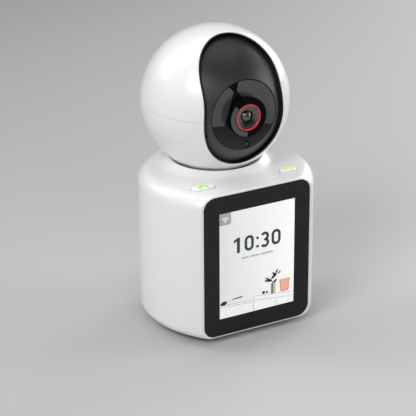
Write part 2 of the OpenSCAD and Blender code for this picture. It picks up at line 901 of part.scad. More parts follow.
module ball_lower_shell() {
  color("White") difference() {
    union() {
      at_ball() difference() {
        intersection() {
          sphere(r = ball_r, $fn = 180);
          translate([-50, -50, ball_flat_z - ball_z]) cube([100, 100, ball_z - ball_flat_z]);
        }
        difference() {
          sphere(r = ball_in_r, $fn = 180);
          ball_screw_posts(-30, 30, 3.2);
          for (s = [-1, 1], a = bracket_angles) {
            translate([s > 0 ? bracket_out : -bracket_out - 8, 0, 0])
              along_x(0) translate([bracket_hole_r * cos(a), bracket_hole_r * sin(a), 0])
                cylinder(r = 2.2, h = 8, $fn = 40);
          }
        }
        seam_groove();
      }
      difference() {
        translate([0, 0, neck_low]) cylinder(r = neck_r, h = ball_flat_z - neck_low + 1.2);
        at_ball() sphere(r = ball_in_r, $fn = 180);
      }
    }
    translate([0, 0, neck_low - 1]) cylinder(r = 6.5, h = 20, $fn = 64);
    for (a = [0, 120, 240]) {
      rotate([0, 0, a]) translate([gear_screw_r, 0, neck_low - 1]) cylinder(r = 0.9, h = 7, $fn = 24);
    }
    at_ball() {
      ball_screw_posts(-40, 34, 1.9);
      ball_screw_posts(-10, 12, 1.1);
      for (s = [-1, 1], a = bracket_angles) {
        translate([s > 0 ? bracket_out - 1 : -bracket_out - 3.4, 0, 0])
          along_x(0) translate([bracket_hole_r * cos(a), bracket_hole_r * sin(a), 0])
            cylinder(r = 0.85, h = 4.4, $fn = 24);
      }
    }
    window_prism(0, 6);
  }
}

module window_bezel() {
  color([0.08, 0.08, 0.09]) union() {
    difference() {
      intersection() {
        at_ball() sphere(r = ball_r - 0.35, $fn = 180);
        window_prism(-0.05, 8);
      }
      at_ball() sphere(r = drum_r + 0.35, $fn = 180);
      window_prism(-0.5, 6);
    }
    difference() {
      intersection() {
        at_ball() sphere(r = ball_in_r - 0.03, $fn = 180);
        window_prism(2.0, 8);
      }
      at_ball() sphere(r = drum_r + 0.35, $fn = 180);
      window_prism(-0.5, 6);
    }
  }
}

module ball_screws() {
  color("Silver") for (s = [-1, 1]) {
    translate([s * ball_screw_x, ball_screw_y, ball_z - 6]) screw(1.75, 1.1, 0.8, 11.5);
  }
}

module bracket_flat() {
  difference() {
    intersection() {
      circle(r = bracket_r);
      translate([-17, -17]) square([34, 26]);
    }
    circle(r = pin_r + 0.03);
    for (a = bracket_angles) {
      translate([bracket_hole_r * cos(a), bracket_hole_r * sin(a)]) circle(r = 1.0, $fn = 24);
    }
    for (s = [-1, 1]) {
      translate([s * 6.5, -10.5]) circle(r = 1.8, $fn = 32);
    }
  }
}

module tilt_bracket_left() {
  color("LightGray") at_ball() along_x(-bracket_out)
    linear_extrude(height = bracket_out - bracket_in) bracket_flat();
}

module tilt_bracket_right() {
  color("LightGray") at_ball() along_x(bracket_in)
    linear_extrude(height = bracket_out - bracket_in) bracket_flat();
}

module tilt_gear() {
  color("Ivory") at_ball() along_x(tilt_gear_x) difference() {
    union() {
      linear_extrude(height = tilt_gear_w) gear_flat(tilt_m, tilt_teeth, 0.1);
      cylinder(r = 7.0, h = bracket_in - tilt_gear_x);
    }
    translate([0, 0, -1]) cylinder(r = 3.5, h = 5, $fn = 48);
  }
}

module bracket_screws() {
  color("Silver") at_ball() for (s = [-1, 1], a = bracket_angles) {
    translate([0, bracket_hole_r * cos(a), bracket_hole_r * sin(a)]) mirror([s < 0 ? 1 : 0, 0, 0])
      translate([bracket_in, 0, 0]) rotate([0, 90, 0]) screw(1.55, 0.9, 0.8, 4.9);
  }
}

// ---------- camera eye, written around the tilt axis ----------

module eye_box(half, y0, y1) {
  translate([-half, y0, -50]) cube([2 * half, y1 - y0, 100]);
}

module mic_line() {
  rotate([mic_down, 0, 0]) rotate([0, 0, atan2(mic_x, mic_y)]) rotate([90, 0, 0]) children();
}

module mic_body(g) {
  intersection() {
    mic_line() translate([0, 0, mic_low - g]) cylinder(r = mic_r + g, h = 4, $fn = 32);
    sphere(r = drum_r - drum_wall, $fn = 180);
  }
}

module eye_shell() {
  color([0.13, 0.13, 0.14]) at_ball() difference() {
    union() {
      difference() {
        intersection() {
          sphere(r = drum_r, $fn = 180);
          eye_box(drum_half, -face_y, 3.5);
        }
        intersection() {
          sphere(r = drum_r - drum_wall, $fn = 180);
          eye_box(drum_half - 1.5, -wall_in_y, 10);
        }
      }
      for (s = [-1, 1]) {
        along_x(s > 0 ? drum_half - 1.5 : -drum_half) cylinder(r = 20, h = 1.5);
        along_x(s > 0 ? drum_half - 0.5 : -31.2) cylinder(r = pin_r, h = 31.7 - drum_half);
      }
      for (sx = [-1, 1], sz = [-1, 1]) {
        translate([sx * post_x, 0, sz * post_z]) to_front(-board_face)
          cylinder(r = post_r, h = wall_in_y - board_face + 0.5, $fn = 32);
      }
    }
    to_front(-20) cylinder(r = barrel_r + 0.05, h = 20);
    to_front(-face_y + face_rec) cylinder(r = plate_r + 0.05, h = 5);
    for (p = led_places) {
      translate([p[0], 0, p[1]]) to_front(-24) cylinder(r = led_hole_r, h = 6, $fn = 28);
    }
    translate([sensor_x, 0, sensor_z]) to_front(-24) cylinder(r = sensor_r + 0.05, h = 6, $fn = 32);
    for (sx = [-1, 1], sz = [-1, 1]) {
      translate([sx * post_x, 0, sz * post_z]) to_front(-18)
        cylinder(r = 0.7, h = 5.5, $fn = 20);
    }
    mic_line() translate([0, 0, 30]) cylinder(r = 0.45, h = 8, $fn = 20);
    mic_body(0.05);
    along_x(-33) cylinder(r = 1.4, h = 12, $fn = 32);
    along_x(20) translate([tilt_centre * cos(tilt_motor_angle),
      tilt_centre * sin(tilt_motor_angle), 0]) cylinder(r = 2.2, h = 10, $fn = 32);
  }
}

module window_left_flat(g) {
  difference() {
    intersection() {
      circle(r = window_out_r + g);
      polygon(points = [
        [-8.5 + g, 20], [-8.5 + g, 16.4], [-5.7 + g, 13.0], [-10.7 + g, -4.0 - g],
        [-20, -3.0 - g], [-20, 20]
      ]);
    }
    circle(r = window_in_r - g);
  }
}

module window_right_flat(g) {
  difference() {
    intersection() {
      circle(r = window_out_r + g);
      polygon(points = [
        [-2.7 - g, 20], [-4.0 - g, 13.3], [-g, 8], [9.5, -6.4 - g],
        [20, -7.9 - g], [20, 20]
      ]);
    }
    circle(r = window_in_r - g);
  }
}

module eye_face() {
  color([0.05, 0.05, 0.06]) at_ball() difference() {
    to_front(-face_y + face_rec) cylinder(r = plate_r, h = face_rec);
    to_front(-20) cylinder(r = barrel_r + 0.05, h = 20);
    to_front(-face_y + window_rec) linear_extrude(height = 3) window_left_flat(0.05);
    to_front(-face_y + window_rec) linear_extrude(height = 3) window_right_flat(0.05);
    for (p = led_places) {
      translate([p[0], 0, p[1]]) to_front(-24) cylinder(r = led_hole_r, h = 9, $fn = 28);
    }
    translate([sensor_x, 0, sensor_z]) to_front(-24) cylinder(r = sensor_r + 0.05, h = 9, $fn = 32);
  }
}

module led_window_left() {
  color([0.25, 0.25, 0.27]) at_ball() to_front(-face_y + window_rec)
    linear_extrude(height = 0.5) window_left_flat(0);
}

module led_window_right() {
  color([0.28, 0.28, 0.3]) at_ball() to_front(-face_y + window_rec)
    linear_extrude(height = 0.5) window_right_flat(0);
}

module lens_barrel() {
  color([0.06, 0.06, 0.07]) at_ball() difference() {
    union() {
      to_front(-barrel_rear) cylinder(r = barrel_r, h = cap_rear - barrel_rear);
      to_front(-barrel_rear) cylinder(r = spigot_r, h = ring_seat_y - barrel_rear);
      to_front(-flange_rear) cylinder(r = flange_r, h = wall_in_y - flange_rear);
    }
    to_front(-lens_seat_y) cylinder(r = ring_in_r, h = 10, $fn = 64);
    to_front(-29.9) cylinder(r = 3.4, h = 3, $fn = 48);
    to_front(-10) cylinder(r = 8.0, h = 20);
  }
}

// round cap pressed on the barrel's spigot, wider than the barrel
module lens_cap() {
  color([0.05, 0.05, 0.06]) at_ball() difference() {
    to_front(-cap_rear) cylinder(r = cap_r, h = barrel_y - cap_rear);
    to_front(-30) cylinder(r = spigot_r + 0.03, h = ring_seat_y - 30);
    to_front(-33) cylinder(r = ring_r + 0.03, h = 5, $fn = 64);
    to_front(-barrel_y + 0.3) linear_extrude(height = 3) crescent_flat(0.05);
  }
}

// light band on the lens cap, from the upper left round to the bottom
module crescent_flat(g) {
  intersection() {
    difference() {
      circle(r = 9.9 + g);
      circle(r = 7.35 - g);
    }
    polygon(points = [[0, 0], [-14.4, 13.9], [-26, 13.9], [-26, -20], [-1.05, -20]]);
  }
}

module lens_ring() {
  color("Crimson") at_ball() difference() {
    to_front(-ring_seat_y) cylinder(r = ring_r, h = barrel_y - ring_seat_y + 0.15, $fn = 64);
    to_front(-30) cylinder(r = ring_in_r, h = 8, $fn = 64);
  }
}

module lens_crescent() {
  color([0.3, 0.3, 0.31]) at_ball() to_front(-barrel_y + 0.3)
    linear_extrude(height = 0.28) crescent_flat(0);
}

module lens_front() {
  color([0.45, 0.5, 0.48, 0.7]) at_ball() intersection() {
    translate([0, lens_dome_r - lens_front_y, 0]) sphere(r = lens_dome_r, $fn = 180);
    to_front(-lens_seat_y) cylinder(r = lens_edge_r, h = 6, $fn = 64);
  }
}

module camera_holder() {
  color([0.1, 0.1, 0.1]) at_ball() difference() {
    union() {
      translate([-7.5, -barrel_rear, -7.5]) cube([15, barrel_rear - board_face, 15]);
      to_front(-21) cylinder(r = 7.9, h = 8.8);
    }
    to_front(-23.5) cylinder(r = 3.3, h = 8, $fn = 48);
    to_front(-18) cylinder(r = 4.5, h = 6, $fn = 48);
  }
}

module camera_board() {
  color("SeaGreen") at_ball() difference() {
    translate([-14, -board_face, -13.5]) cube([28, 1.2, 27]);
    for (sx = [-1, 1], sz = [-1, 1]) {
      translate([sx * post_x, 0, sz * post_z]) to_front(-16)
        cylinder(r = 0.9, h = 4, $fn = 24);
    }
  }
}

module led_board() {
  color("Ivory") at_ball() union() {
    difference() {
      to_front(-led_board_y) cylinder(r = 18.0, h = 1.0);
      to_front(-20) cylinder(r = 12.3, h = 9);
      mic_body(0.2);
      for (sx = [-1, 1], sz = [-1, 1]) {
        translate([sx * post_x, 0, sz * post_z]) to_front(-20)
          cylinder(r = 2.2, h = 9, $fn = 32);
      }
    }
    for (p = led_places) {
      translate([p[0], 0, p[1]]) to_front(-26.5) cylinder(r = 1.4, h = 1.6, $fn = 24);
      translate([p[0], -28.1, p[1]]) sphere(r = 0.8, $fn = 24);
    }
  }
}

module light_sensor() {
  color("DarkGreen") at_ball() translate([sensor_x, 0, sensor_z])
    to_front(-wall_in_y) cylinder(r = sensor_r, h = face_y - wall_in_y + 0.1, $fn = 32);
}

module microphone() {
  color("Silver") at_ball() mic_body(0);
}

module tilt_motor() {
  color("Gray") at_ball() translate([0, tilt_centre * cos(tilt_motor_angle),
    tilt_centre * sin(tilt_motor_angle)]) difference() {
    union() {
      along_x(4) cylinder(r = 6, h = 20, $fn = 64);
      along_x(23.9) cylinder(r = 2.1, h = 1.5, $fn = 32);
    }
    along_x(8) cylinder(r = 0.8, h = 20, $fn = 32);
  }
}

module tilt_pinion() {
  color("Silver") at_ball() translate([0, tilt_centre * cos(tilt_motor_angle),
    tilt_centre * sin(tilt_motor_angle)]) union() {
    along_x(tilt_gear_x) rotate([0, 0, 180 / pinion_teeth + tilt_motor_angle - 60])
      linear_extrude(height = tilt_gear_w) gear_flat(tilt_m, pinion_teeth, 0.1);
    along_x(8.5) cylinder(r = 0.75, h = 18.5, $fn = 32);
  }
}

body_shell();
bottom_cover();
rubber_foot();
cover_screws();
front_glass();
display_panel();
display_bracket();
inner_screws();
button_board();
tact_switches();
main_board();
shield_can();
board_chips();
heat_sink();
board_connectors();
usb_port();
usb_tongue();
wifi_antenna();
speaker_frame();
speaker_magnet();
speaker_cone();
speaker_gasket();
speaker_screws();
pan_deck();
deck_screws();
pan_bush();
pan_motor();
call_button();
call_icon();
hangup_button();
hangup_icon();
pan_pinion();
ball_upper_shell();
ball_lower_shell();
window_bezel();
ball_screws();
pan_gear();
gear_screws();
pan_clip();
tilt_bracket_left();
tilt_bracket_right();
tilt_gear();
bracket_screws();
eye_shell();
eye_face();
led_window_left();
led_window_right();
lens_barrel();
lens_cap();
lens_ring();
lens_crescent();
lens_front();
camera_holder();
camera_board();
led_board();
light_sensor();
microphone();
tilt_motor();
tilt_pinion();
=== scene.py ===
# Smart home hub: barrel shaped housing with an upright touch display, two call keys and a
# panning ball head with a tilting camera eye. Shapes are written in millimetres.
import json
import math

import bmesh
import bpy
import numpy as np
from mathutils import Matrix, Quaternion, Vector
from mathutils.bvhtree import BVHTree


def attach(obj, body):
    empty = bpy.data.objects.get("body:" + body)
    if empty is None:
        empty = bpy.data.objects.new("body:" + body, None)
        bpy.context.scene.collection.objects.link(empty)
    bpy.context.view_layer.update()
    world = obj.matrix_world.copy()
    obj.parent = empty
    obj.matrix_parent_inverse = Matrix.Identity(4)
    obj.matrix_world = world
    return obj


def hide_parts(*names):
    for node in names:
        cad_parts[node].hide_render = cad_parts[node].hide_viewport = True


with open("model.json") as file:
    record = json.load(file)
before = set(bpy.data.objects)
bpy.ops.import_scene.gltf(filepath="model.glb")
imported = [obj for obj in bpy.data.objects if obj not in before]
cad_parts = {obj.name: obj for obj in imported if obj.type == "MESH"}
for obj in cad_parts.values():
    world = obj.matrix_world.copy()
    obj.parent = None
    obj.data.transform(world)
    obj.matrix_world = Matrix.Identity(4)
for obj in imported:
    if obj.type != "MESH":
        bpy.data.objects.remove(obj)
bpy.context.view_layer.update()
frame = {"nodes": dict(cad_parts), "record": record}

MM = 0.001
scene = bpy.context.scene

# ---------------------------------------------------------------- sizes, in millimetres
# housing: plan, height, edges and wall, with the collar and the dish that the ball sits in
HALF_W, SIDE_R, BODY_CY, FRONT_Y = 44.4, 50.0, -10.2, -43.6
BODY_TOP, BODY_LOW, TOP_R, LOW_R, WALL = 81.6, 3.2, 7.0, 5.4, 2.4
SIDE_CX = HALF_W - SIDE_R
LIP_R = 1.0
COLLAR_IN, COLLAR_EDGE, COLLAR_OUT, COLLAR_RISE = 20, 24.7, 31.3, 2.85
DISH_R, NECK_HOLE_R = 38.9, 11.6
# display glass and the lit picture behind it
GLASS_W, GLASS_H, GLASS_R, SCREEN_Z = 60.9, 76.3, 6.3, 42.3
SCREEN_Y = FRONT_Y + 0.13
PICTURE_W, PICTURE_H = 43.2, 57.6
LAYER_STEP, SHEET_T = 0.025, 0.02
# keys on the roof
KEY_X, KEY_Y, CALL_LEN, HANG_LEN, KEY_W, KEY_GAP = 24.4, -32.0, 12.4, 8.8, 5.2, 0.3
KEY_TOP, KEY_LOW, KEY_EDGE = BODY_TOP + 0.9, 76.9, 0.45
# power socket and speaker holes at the back
USB_Z, USB_SEAT, USB_WAY = 11.25, (12, 6.4), (9.6, 3.9)
SPEAKER_Z, HOLE_R, HOLE_PITCH, ROW_PITCH, HOLE_ROWS = 26.8, 0.75, 2.8, 2.8 * 0.866, 3
# ball, its window and the two screw posts inside
BALL_R, BALL_Z, BALL_IN = 37.83, 115.0, 36.03
TILT = math.radians(14.0)
WINDOW_LIP, LINING_EDGE = 0.35, 0.2
POST_X, POST_Y, POST_R, SCREW_WAY_R = 12, 30, 3.2, 1.9
# camera eye: drum and plate, barrel and cap, lens and ring, light sensor, microphone hole, cutters
DRUM_R, DRUM_HALF, DRUM_EDGE, DRUM_REAR, FACE_Y = 35.0, 25.5, 0.2, 3.5, 29.65
PLATE_R, PLATE_T, WINDOW_OUT, WINDOW_IN = 18.2, 1.2, 17.9, 9.5
NECK_R, CAP_R, CAP_REAR, CAP_FRONT, SPIGOT_R = 9.0, 10.3, -32.5, -34.2, 7.9
LENS_R, RING_R, RING_EDGE, RING_REAR, PUPIL_R, PUPIL_REAR = 6.1, 6.9, 0.2, -33.5, 3.4, -30.8
SENSOR_X, SENSOR_Z, SENSOR_R, MIC_R = 1.3, -15.75, 1.9, 0.65
WAY_GAP, CUT_FRONT, CUT_REAR = 0.05, -40, -24

# shading after a carve, in metres: how far a probe moves in from a corner, and how far it looks from there
PROBE_STEP, PROBE_REACH = 4e-5, 3e-5
# the largest share of the way to a face's middle that its probe may move
PROBE_SHARE = 0.05
# how closely a smooth normal has to agree with the face's own, as the cosine of the angle between them
NORMAL_FIT = 0.75


# ---------------------------------------------------------------- mesh helpers
def piece(name, verts, faces):
    """Mesh object from points in millimetres."""
    mesh = bpy.data.meshes.new(name)
    mesh.from_pydata([tuple(float(c) * MM for c in v) for v in verts], [], faces)
    bm = bmesh.new()
    bm.from_mesh(mesh)
    bmesh.ops.remove_doubles(bm, verts=bm.verts, dist=2e-6)
    bmesh.ops.recalc_face_normals(bm, faces=bm.faces)
    bm.to_mesh(mesh)
    bm.free()
    obj = bpy.data.objects.new(name, mesh)
    scene.collection.objects.link(obj)
    return obj


def smooth(obj, degrees=35):
    """Smooth shading with sharp edges above an angle."""
    mesh = obj.data
    mesh.polygons.foreach_set("use_smooth", [True] * len(mesh.polygons))
    mesh.set_sharp_from_angle(angle=math.radians(degrees))
    return obj


def grid(name, rows, closed_cols=True, closed_rows=False):
    """Quad sheet through rows of points."""
    count, width = len(rows), len(rows[0])
    faces = []
    for i in range(count if closed_rows else count - 1):
        for j in range(width if closed_cols else width - 1):
            a, b = i * width, ((i + 1) % count) * width
            k = (j + 1) % width
            faces.append((a + j, a + k, b + k, b + j))
    return piece(name, [p for row in rows for p in row], faces)


def turn(profile, steps, place):
    """Rows of a turned shape; place maps (radius, height, angle) to a point."""
    angles = [2 * math.pi * i / steps for i in range(steps)]
    return [[place(r, h, a) for a in angles] for r, h in profile]


def lathe_z(name, profile, steps=96, centre=(0, 0), closed=True):
    """Turned about an upright axis: profile is (radius, height)."""
    cx, cy = centre
    rows = turn(profile, steps, lambda r, h, a: (cx + r * math.cos(a), cy + r * math.sin(a), h))
    return grid(name, rows, closed_rows=closed)


def lathe_y(name, profile, steps=96, centre=(0, 0), closed=True):
    """Turned about the camera's axis: profile is (radius, depth), depth grows to the rear."""
    cx, cz = centre
    rows = turn(profile, steps, lambda r, h, a: (cx + r * math.cos(a), h, cz + r * math.sin(a)))
    return grid(name, rows, closed_rows=closed)


def ball(name, radius, rings=48, steps=96):
    """Sphere round the ball's centre."""
    profile = [(radius * math.sin(math.pi * i / rings), BALL_Z - radius * math.cos(math.pi * i / rings))
               for i in range(rings + 1)]
    return lathe_z(name, profile, steps, closed=False)


def prism(name, outline, low, high, axis="z", offset=(0, 0)):
    """Solid between two flat copies of an outline; axis y stands it up facing the front."""
    def at(p, h):
        if axis == "z":
            return (p[0] + offset[0], p[1] + offset[1], h)
        return (p[0] + offset[0], h, p[1] + offset[1])
    n = len(outline)
    verts = [at(p, low) for p in outline] + [at(p, high) for p in outline]
    faces = [tuple(range(n)), tuple(range(n, 2 * n))]
    faces += [(i, (i + 1) % n, n + (i + 1) % n, n + i) for i in range(n)]
    return piece(name, verts, faces)


def block(name, low, high):
    """Box between two corners."""
    (x0, y0, z0), (x1, y1, z1) = low, high
    return prism(name, [(x0, y0), (x1, y0), (x1, y1), (x0, y1)], z0, z1)


def arc(cx, cy, r, a0, a1, steps):
    """Points round a circle from angle a0 to a1, in degrees."""
    return [(cx + r * math.cos(math.radians(a0 + (a1 - a0) * i / steps)),
             cy + r * math.sin(math.radians(a0 + (a1 - a0) * i / steps))) for i in range(steps + 1)]


def pill(length, width, steps=20):
    """Outline with two round ends."""
    h = (length - width) / 2
    return arc(h, 0, width / 2, -90, 90, steps) + arc(-h, 0, width / 2, 90, 270, steps)


def round_rect(w, h, r, steps=14):
    """Outline of a rectangle with rounded corners."""
    x, y = w / 2 - r, h / 2 - r
    return (arc(x, y, r, 0, 90, steps) + arc(-x, y, r, 90, 180, steps)
            + arc(-x, -y, r, 180, 270, steps) + arc(x, -y, r, 270, 360, steps))


def joined(name, objs):
    """One object out of several separate ones."""
    bm = bmesh.new()
    for o in objs:
        bm.from_mesh(o.data)
        drop(o)
    mesh = bpy.data.meshes.new(name)
    bm.to_mesh(mesh)
    bm.free()
    obj = bpy.data.objects.new(name, mesh)
    scene.collection.objects.link(obj)
    return obj


def drop(obj):
    """Deletes an object that was only used to make another one."""
    mesh = obj.data
    bpy.data.objects.remove(obj)
    bpy.data.meshes.remove(mesh)


class Skin:
    """Smooth normals of one operand, looked up by place."""

    def __init__(self, obj, sign, degrees=35):
        smooth(obj, degrees)
        mesh = obj.data
        mesh.calc_loop_triangles()
        self.corner = [Vector(n.vector) for n in mesh.corner_normals]
        self.tris = [(tuple(t.vertices), tuple(t.loops)) for t in mesh.loop_triangles]
        self.verts = [v.co.copy() for v in mesh.vertices]
        self.tree = BVHTree.FromPolygons(self.verts, [t[0] for t in self.tris])
        self.sign = sign

    def normal(self, point, reach):
        """Smooth normal at the nearest place within reach, or None, and how far away that place is."""
        place, _, index, gap = self.tree.find_nearest(point, reach)
        if place is None:
            return None, gap
        (a, b, c), loops = self.tris[index]
        va, vb, vc = self.verts[a], self.verts[b], self.verts[c]
        e0, e1, e2 = vb - va, vc - va, place - va
        d00, d01, d11 = e0.dot(e0), e0.dot(e1), e1.dot(e1)
        d20, d21 = e2.dot(e0), e2.dot(e1)
        den = d00 * d11 - d01 * d01
        if abs(den) < 1e-24:
            return None, gap
        v = (d11 * d20 - d01 * d21) / den
        w = (d00 * d21 - d01 * d20) / den
        n = self.corner[loops[0]] * (1 - v - w) + self.corner[loops[1]] * v + self.corner[loops[2]] * w
        return n.normalized() * self.sign, gap


def carve(name, base, operations, degrees=35):
    """base joined with, cut by or kept inside each solid in turn; each face keeps its solid's shading."""
    skins = [Skin(base, 1, degrees)]
    for i, (kind, other) in enumerate(operations):
        skins.append(Skin(other, -1 if kind == "DIFFERENCE" else 1, degrees))
        mod = base.modifiers.new(f"step{i}", "BOOLEAN")
        mod.operation, mod.object, mod.solver = kind, other, "EXACT"
    graph = bpy.context.evaluated_depsgraph_get()
    mesh = bpy.data.meshes.new_from_object(base.evaluated_get(graph))
    drop(base)
    for _, other in operations:
        drop(other)
    mesh.name = name
    obj = bpy.data.objects.new(name, mesh)
    scene.collection.objects.link(obj)
    mesh.materials.clear()
    mesh.polygons.foreach_set("use_smooth", [True] * len(mesh.polygons))
    normals = [None] * len(mesh.loops)
    for poly in mesh.polygons:
        centre, flat = poly.center, poly.normal
        for index in poly.loop_indices:
            corner = mesh.vertices[mesh.loops[index].vertex_index].co
            inward = centre - corner
            shift = min(PROBE_SHARE, PROBE_STEP / max(inward.length, 1e-9))
            probe = corner + inward * shift
            best, best_gap = flat, PROBE_REACH
            for skin in skins:
                n, gap = skin.normal(probe, best_gap)
                if n is not None and gap < best_gap and n.dot(flat) > NORMAL_FIT:
                    best, best_gap = n, gap
            normals[index] = tuple(best)
    mesh.normals_split_custom_set(normals)
    return obj


# ---------------------------------------------------------------- materials
def paint(name, colour, rough, metallic=0.0, coat=0.0, coat_rough=0.04, bump=0.0, grain=900.0,
          vary=0.0, tint=0.0, specular=0.5, glow=None, glow_strength=0.0, clear=0.0, ior=1.5):
    """Principled material with a fine grain in relief, gloss and colour."""
    mat = bpy.data.materials.new(name)
    mat.use_nodes = True
    tree = mat.node_tree
    shader = tree.nodes["Principled BSDF"]
    shader.inputs["Base Color"].default_value = (*colour, 1)
    shader.inputs["Roughness"].default_value = rough
    shader.inputs["Metallic"].default_value = metallic
    shader.inputs["IOR"].default_value = ior
    shader.inputs["Specular IOR Level"].default_value = specular
    shader.inputs["Coat Weight"].default_value = coat
    shader.inputs["Coat Roughness"].default_value = coat_rough
    shader.inputs["Transmission Weight"].default_value = clear
    if glow:
        shader.inputs["Emission Color"].default_value = (*glow, 1)
        shader.inputs["Emission Strength"].default_value = glow_strength
    if not (bump or vary or tint):
        return mat
    place = tree.nodes.new("ShaderNodeTexCoord")
    noise = tree.nodes.new("ShaderNodeTexNoise")
    noise.inputs["Scale"].default_value = grain
    noise.inputs["Detail"].default_value = 4
    tree.links.new(place.outputs["Object"], noise.inputs["Vector"])
    if bump:
        relief = tree.nodes.new("ShaderNodeBump")
        relief.inputs["Distance"].default_value = bump * MM
        relief.inputs["Strength"].default_value = 0.6
        tree.links.new(noise.outputs["Fac"], relief.inputs["Height"])
        tree.links.new(relief.outputs["Normal"], shader.inputs["Normal"])
    if vary:
        span = tree.nodes.new("ShaderNodeMapRange")
        span.inputs["To Min"].default_value = rough * (1 - vary)
        span.inputs["To Max"].default_value = min(1.0, rough * (1 + vary))
        tree.links.new(noise.outputs["Fac"], span.inputs["Value"])
        tree.links.new(span.outputs["Result"], shader.inputs["Roughness"])
    if tint:
        blend = tree.nodes.new("ShaderNodeMix")
        blend.data_type = "RGBA"
        blend.inputs["A"].default_value = (*[c * (1 - tint) for c in colour], 1)
        blend.inputs["B"].default_value = (*[min(1, c * (1 + tint)) for c in colour], 1)
        tree.links.new(noise.outputs["Fac"], blend.inputs["Factor"])
        tree.links.new(blend.outputs["Result"], shader.inputs["Base Color"])
    return mat


LOOKS = {
    "white_shell": dict(colour=(0.82, 0.825, 0.83), rough=0.34, coat=0.6, coat_rough=0.18, bump=0.01,
                        grain=1800, vary=0.12, tint=0.01),
    "cover_grey": dict(colour=(0.55, 0.56, 0.57), rough=0.6, bump=0.03, grain=1500, vary=0.1, tint=0.03),
    "black_gloss": dict(colour=(0.016, 0.0165, 0.018), rough=0.2, coat=0.4, bump=0.004, grain=700, vary=0.15),
    "black_matte": dict(colour=(0.022, 0.022, 0.024), rough=0.55, bump=0.02, grain=1600, vary=0.15),
    "smoke_window": dict(colour=(0.055, 0.056, 0.06), rough=0.16, coat=0.4, bump=0.003, grain=600, vary=0.15),
    "front_glass": dict(colour=(0.009, 0.009, 0.0095), rough=0.22, specular=0.3, bump=0.002, grain=300,
                        vary=0.2),
    "lens_glass": dict(colour=(0.92, 0.97, 0.95), rough=0.02, clear=1.0, ior=1.45, bump=0.001, grain=200),
    "red_ring": dict(colour=(0.55, 0.03, 0.055), rough=0.3, coat=0.3, bump=0.005, grain=1200, vary=0.15),
    "lcd": dict(colour=(0.5, 0.51, 0.53), rough=0.35, metallic=0.9, bump=0.01, grain=900, vary=0.2),
    "steel": dict(colour=(0.56, 0.56, 0.57), rough=0.32, metallic=1.0, bump=0.008, grain=1400, vary=0.25),
    "alloy": dict(colour=(0.58, 0.59, 0.61), rough=0.45, metallic=1.0, bump=0.02, grain=1200, vary=0.2),
    "brass": dict(colour=(0.7, 0.5, 0.22), rough=0.4, metallic=1.0, bump=0.01, grain=1300, vary=0.2),
    "pcb": dict(colour=(0.015, 0.15, 0.06), rough=0.35, coat=0.3, bump=0.02, grain=500, vary=0.2, tint=0.15),
    "chip": dict(colour=(0.02, 0.02, 0.022), rough=0.55, bump=0.02, grain=2000, vary=0.1),
    "ivory": dict(colour=(0.78, 0.74, 0.62), rough=0.45, bump=0.01, grain=900, vary=0.15, tint=0.03),
    "rubber": dict(colour=(0.035, 0.035, 0.037), rough=0.8, bump=0.05, grain=1400, vary=0.1, tint=0.1),
    # the two signs are given a faint glow: painted light that brightens them, with no lamp under them
    "green_sign": dict(colour=(0.25, 0.76, 0.03), rough=0.4, bump=0.006, grain=1500, vary=0.15,
                       glow=(0.27, 0.83, 0.03), glow_strength=0.25),
    "yellow_sign": dict(colour=(0.80, 0.79, 0.06), rough=0.4, bump=0.006, grain=1500, vary=0.15,
                        glow=(0.84, 0.84, 0.06), glow_strength=0.2),
    "sensor_green": dict(colour=(0.001, 0.026, 0.008), rough=0.15, coat=0.1, bump=0.003, grain=500, vary=0.2),
    "paper_cone": dict(colour=(0.05, 0.05, 0.055), rough=0.75, bump=0.05, grain=900, vary=0.1, tint=0.2),
    "antenna": dict(colour=(0.5, 0.33, 0.08), rough=0.4, bump=0.01, grain=700, vary=0.2),
}
MATS = {name: paint(name, **look) for name, look in LOOKS.items()}

KEY_WHITE = paint("key_white", (0.93, 0.935, 0.94), 0.3, coat=0.4, coat_rough=0.12, bump=0.006,
                  grain=2200, vary=0.1)
DEEP_BLACK = paint("deep_black", (0.0015, 0.0015, 0.0018), 0.4, specular=0.06, bump=0.003,
                   grain=900, vary=0.12)


def node_chain(tree, start, *stages):
    """Links a row of nodes one after the other and returns the last output."""
    out = start
    for kind, setup in stages:
        node = tree.nodes.new(kind)
        setup(node)
        tree.links.new(out, node.inputs[0])
        gives_number = getattr(node, "operation", "") in ("LENGTH", "DOT_PRODUCT")
        out = node.outputs["Value"] if gives_number else node.outputs[0]
    return out


def graded(mat, along, start, end, first, last, glow=False):
    """Blends a material from first to last along a direction, between two distances in millimetres."""
    tree = mat.node_tree
    shader = tree.nodes["Principled BSDF"]
    place = tree.nodes.new("ShaderNodeTexCoord")

    def distance(node):
        node.operation = "DOT_PRODUCT"
        node.inputs[1].default_value = along

    def span(node):
        node.inputs["From Min"].default_value = start * MM
        node.inputs["From Max"].default_value = end * MM

    def blend(node):
        node.color_ramp.elements[0].color = (*first, 1)
        node.color_ramp.elements[1].color = (*last, 1)

    out = node_chain(tree, place.outputs["Object"], ("ShaderNodeVectorMath", distance),
                     ("ShaderNodeMapRange", span), ("ShaderNodeValToRGB", blend))
    tree.links.new(out, shader.inputs["Base Color"])
    if glow:
        tree.links.new(out, shader.inputs["Emission Color"])
    return mat


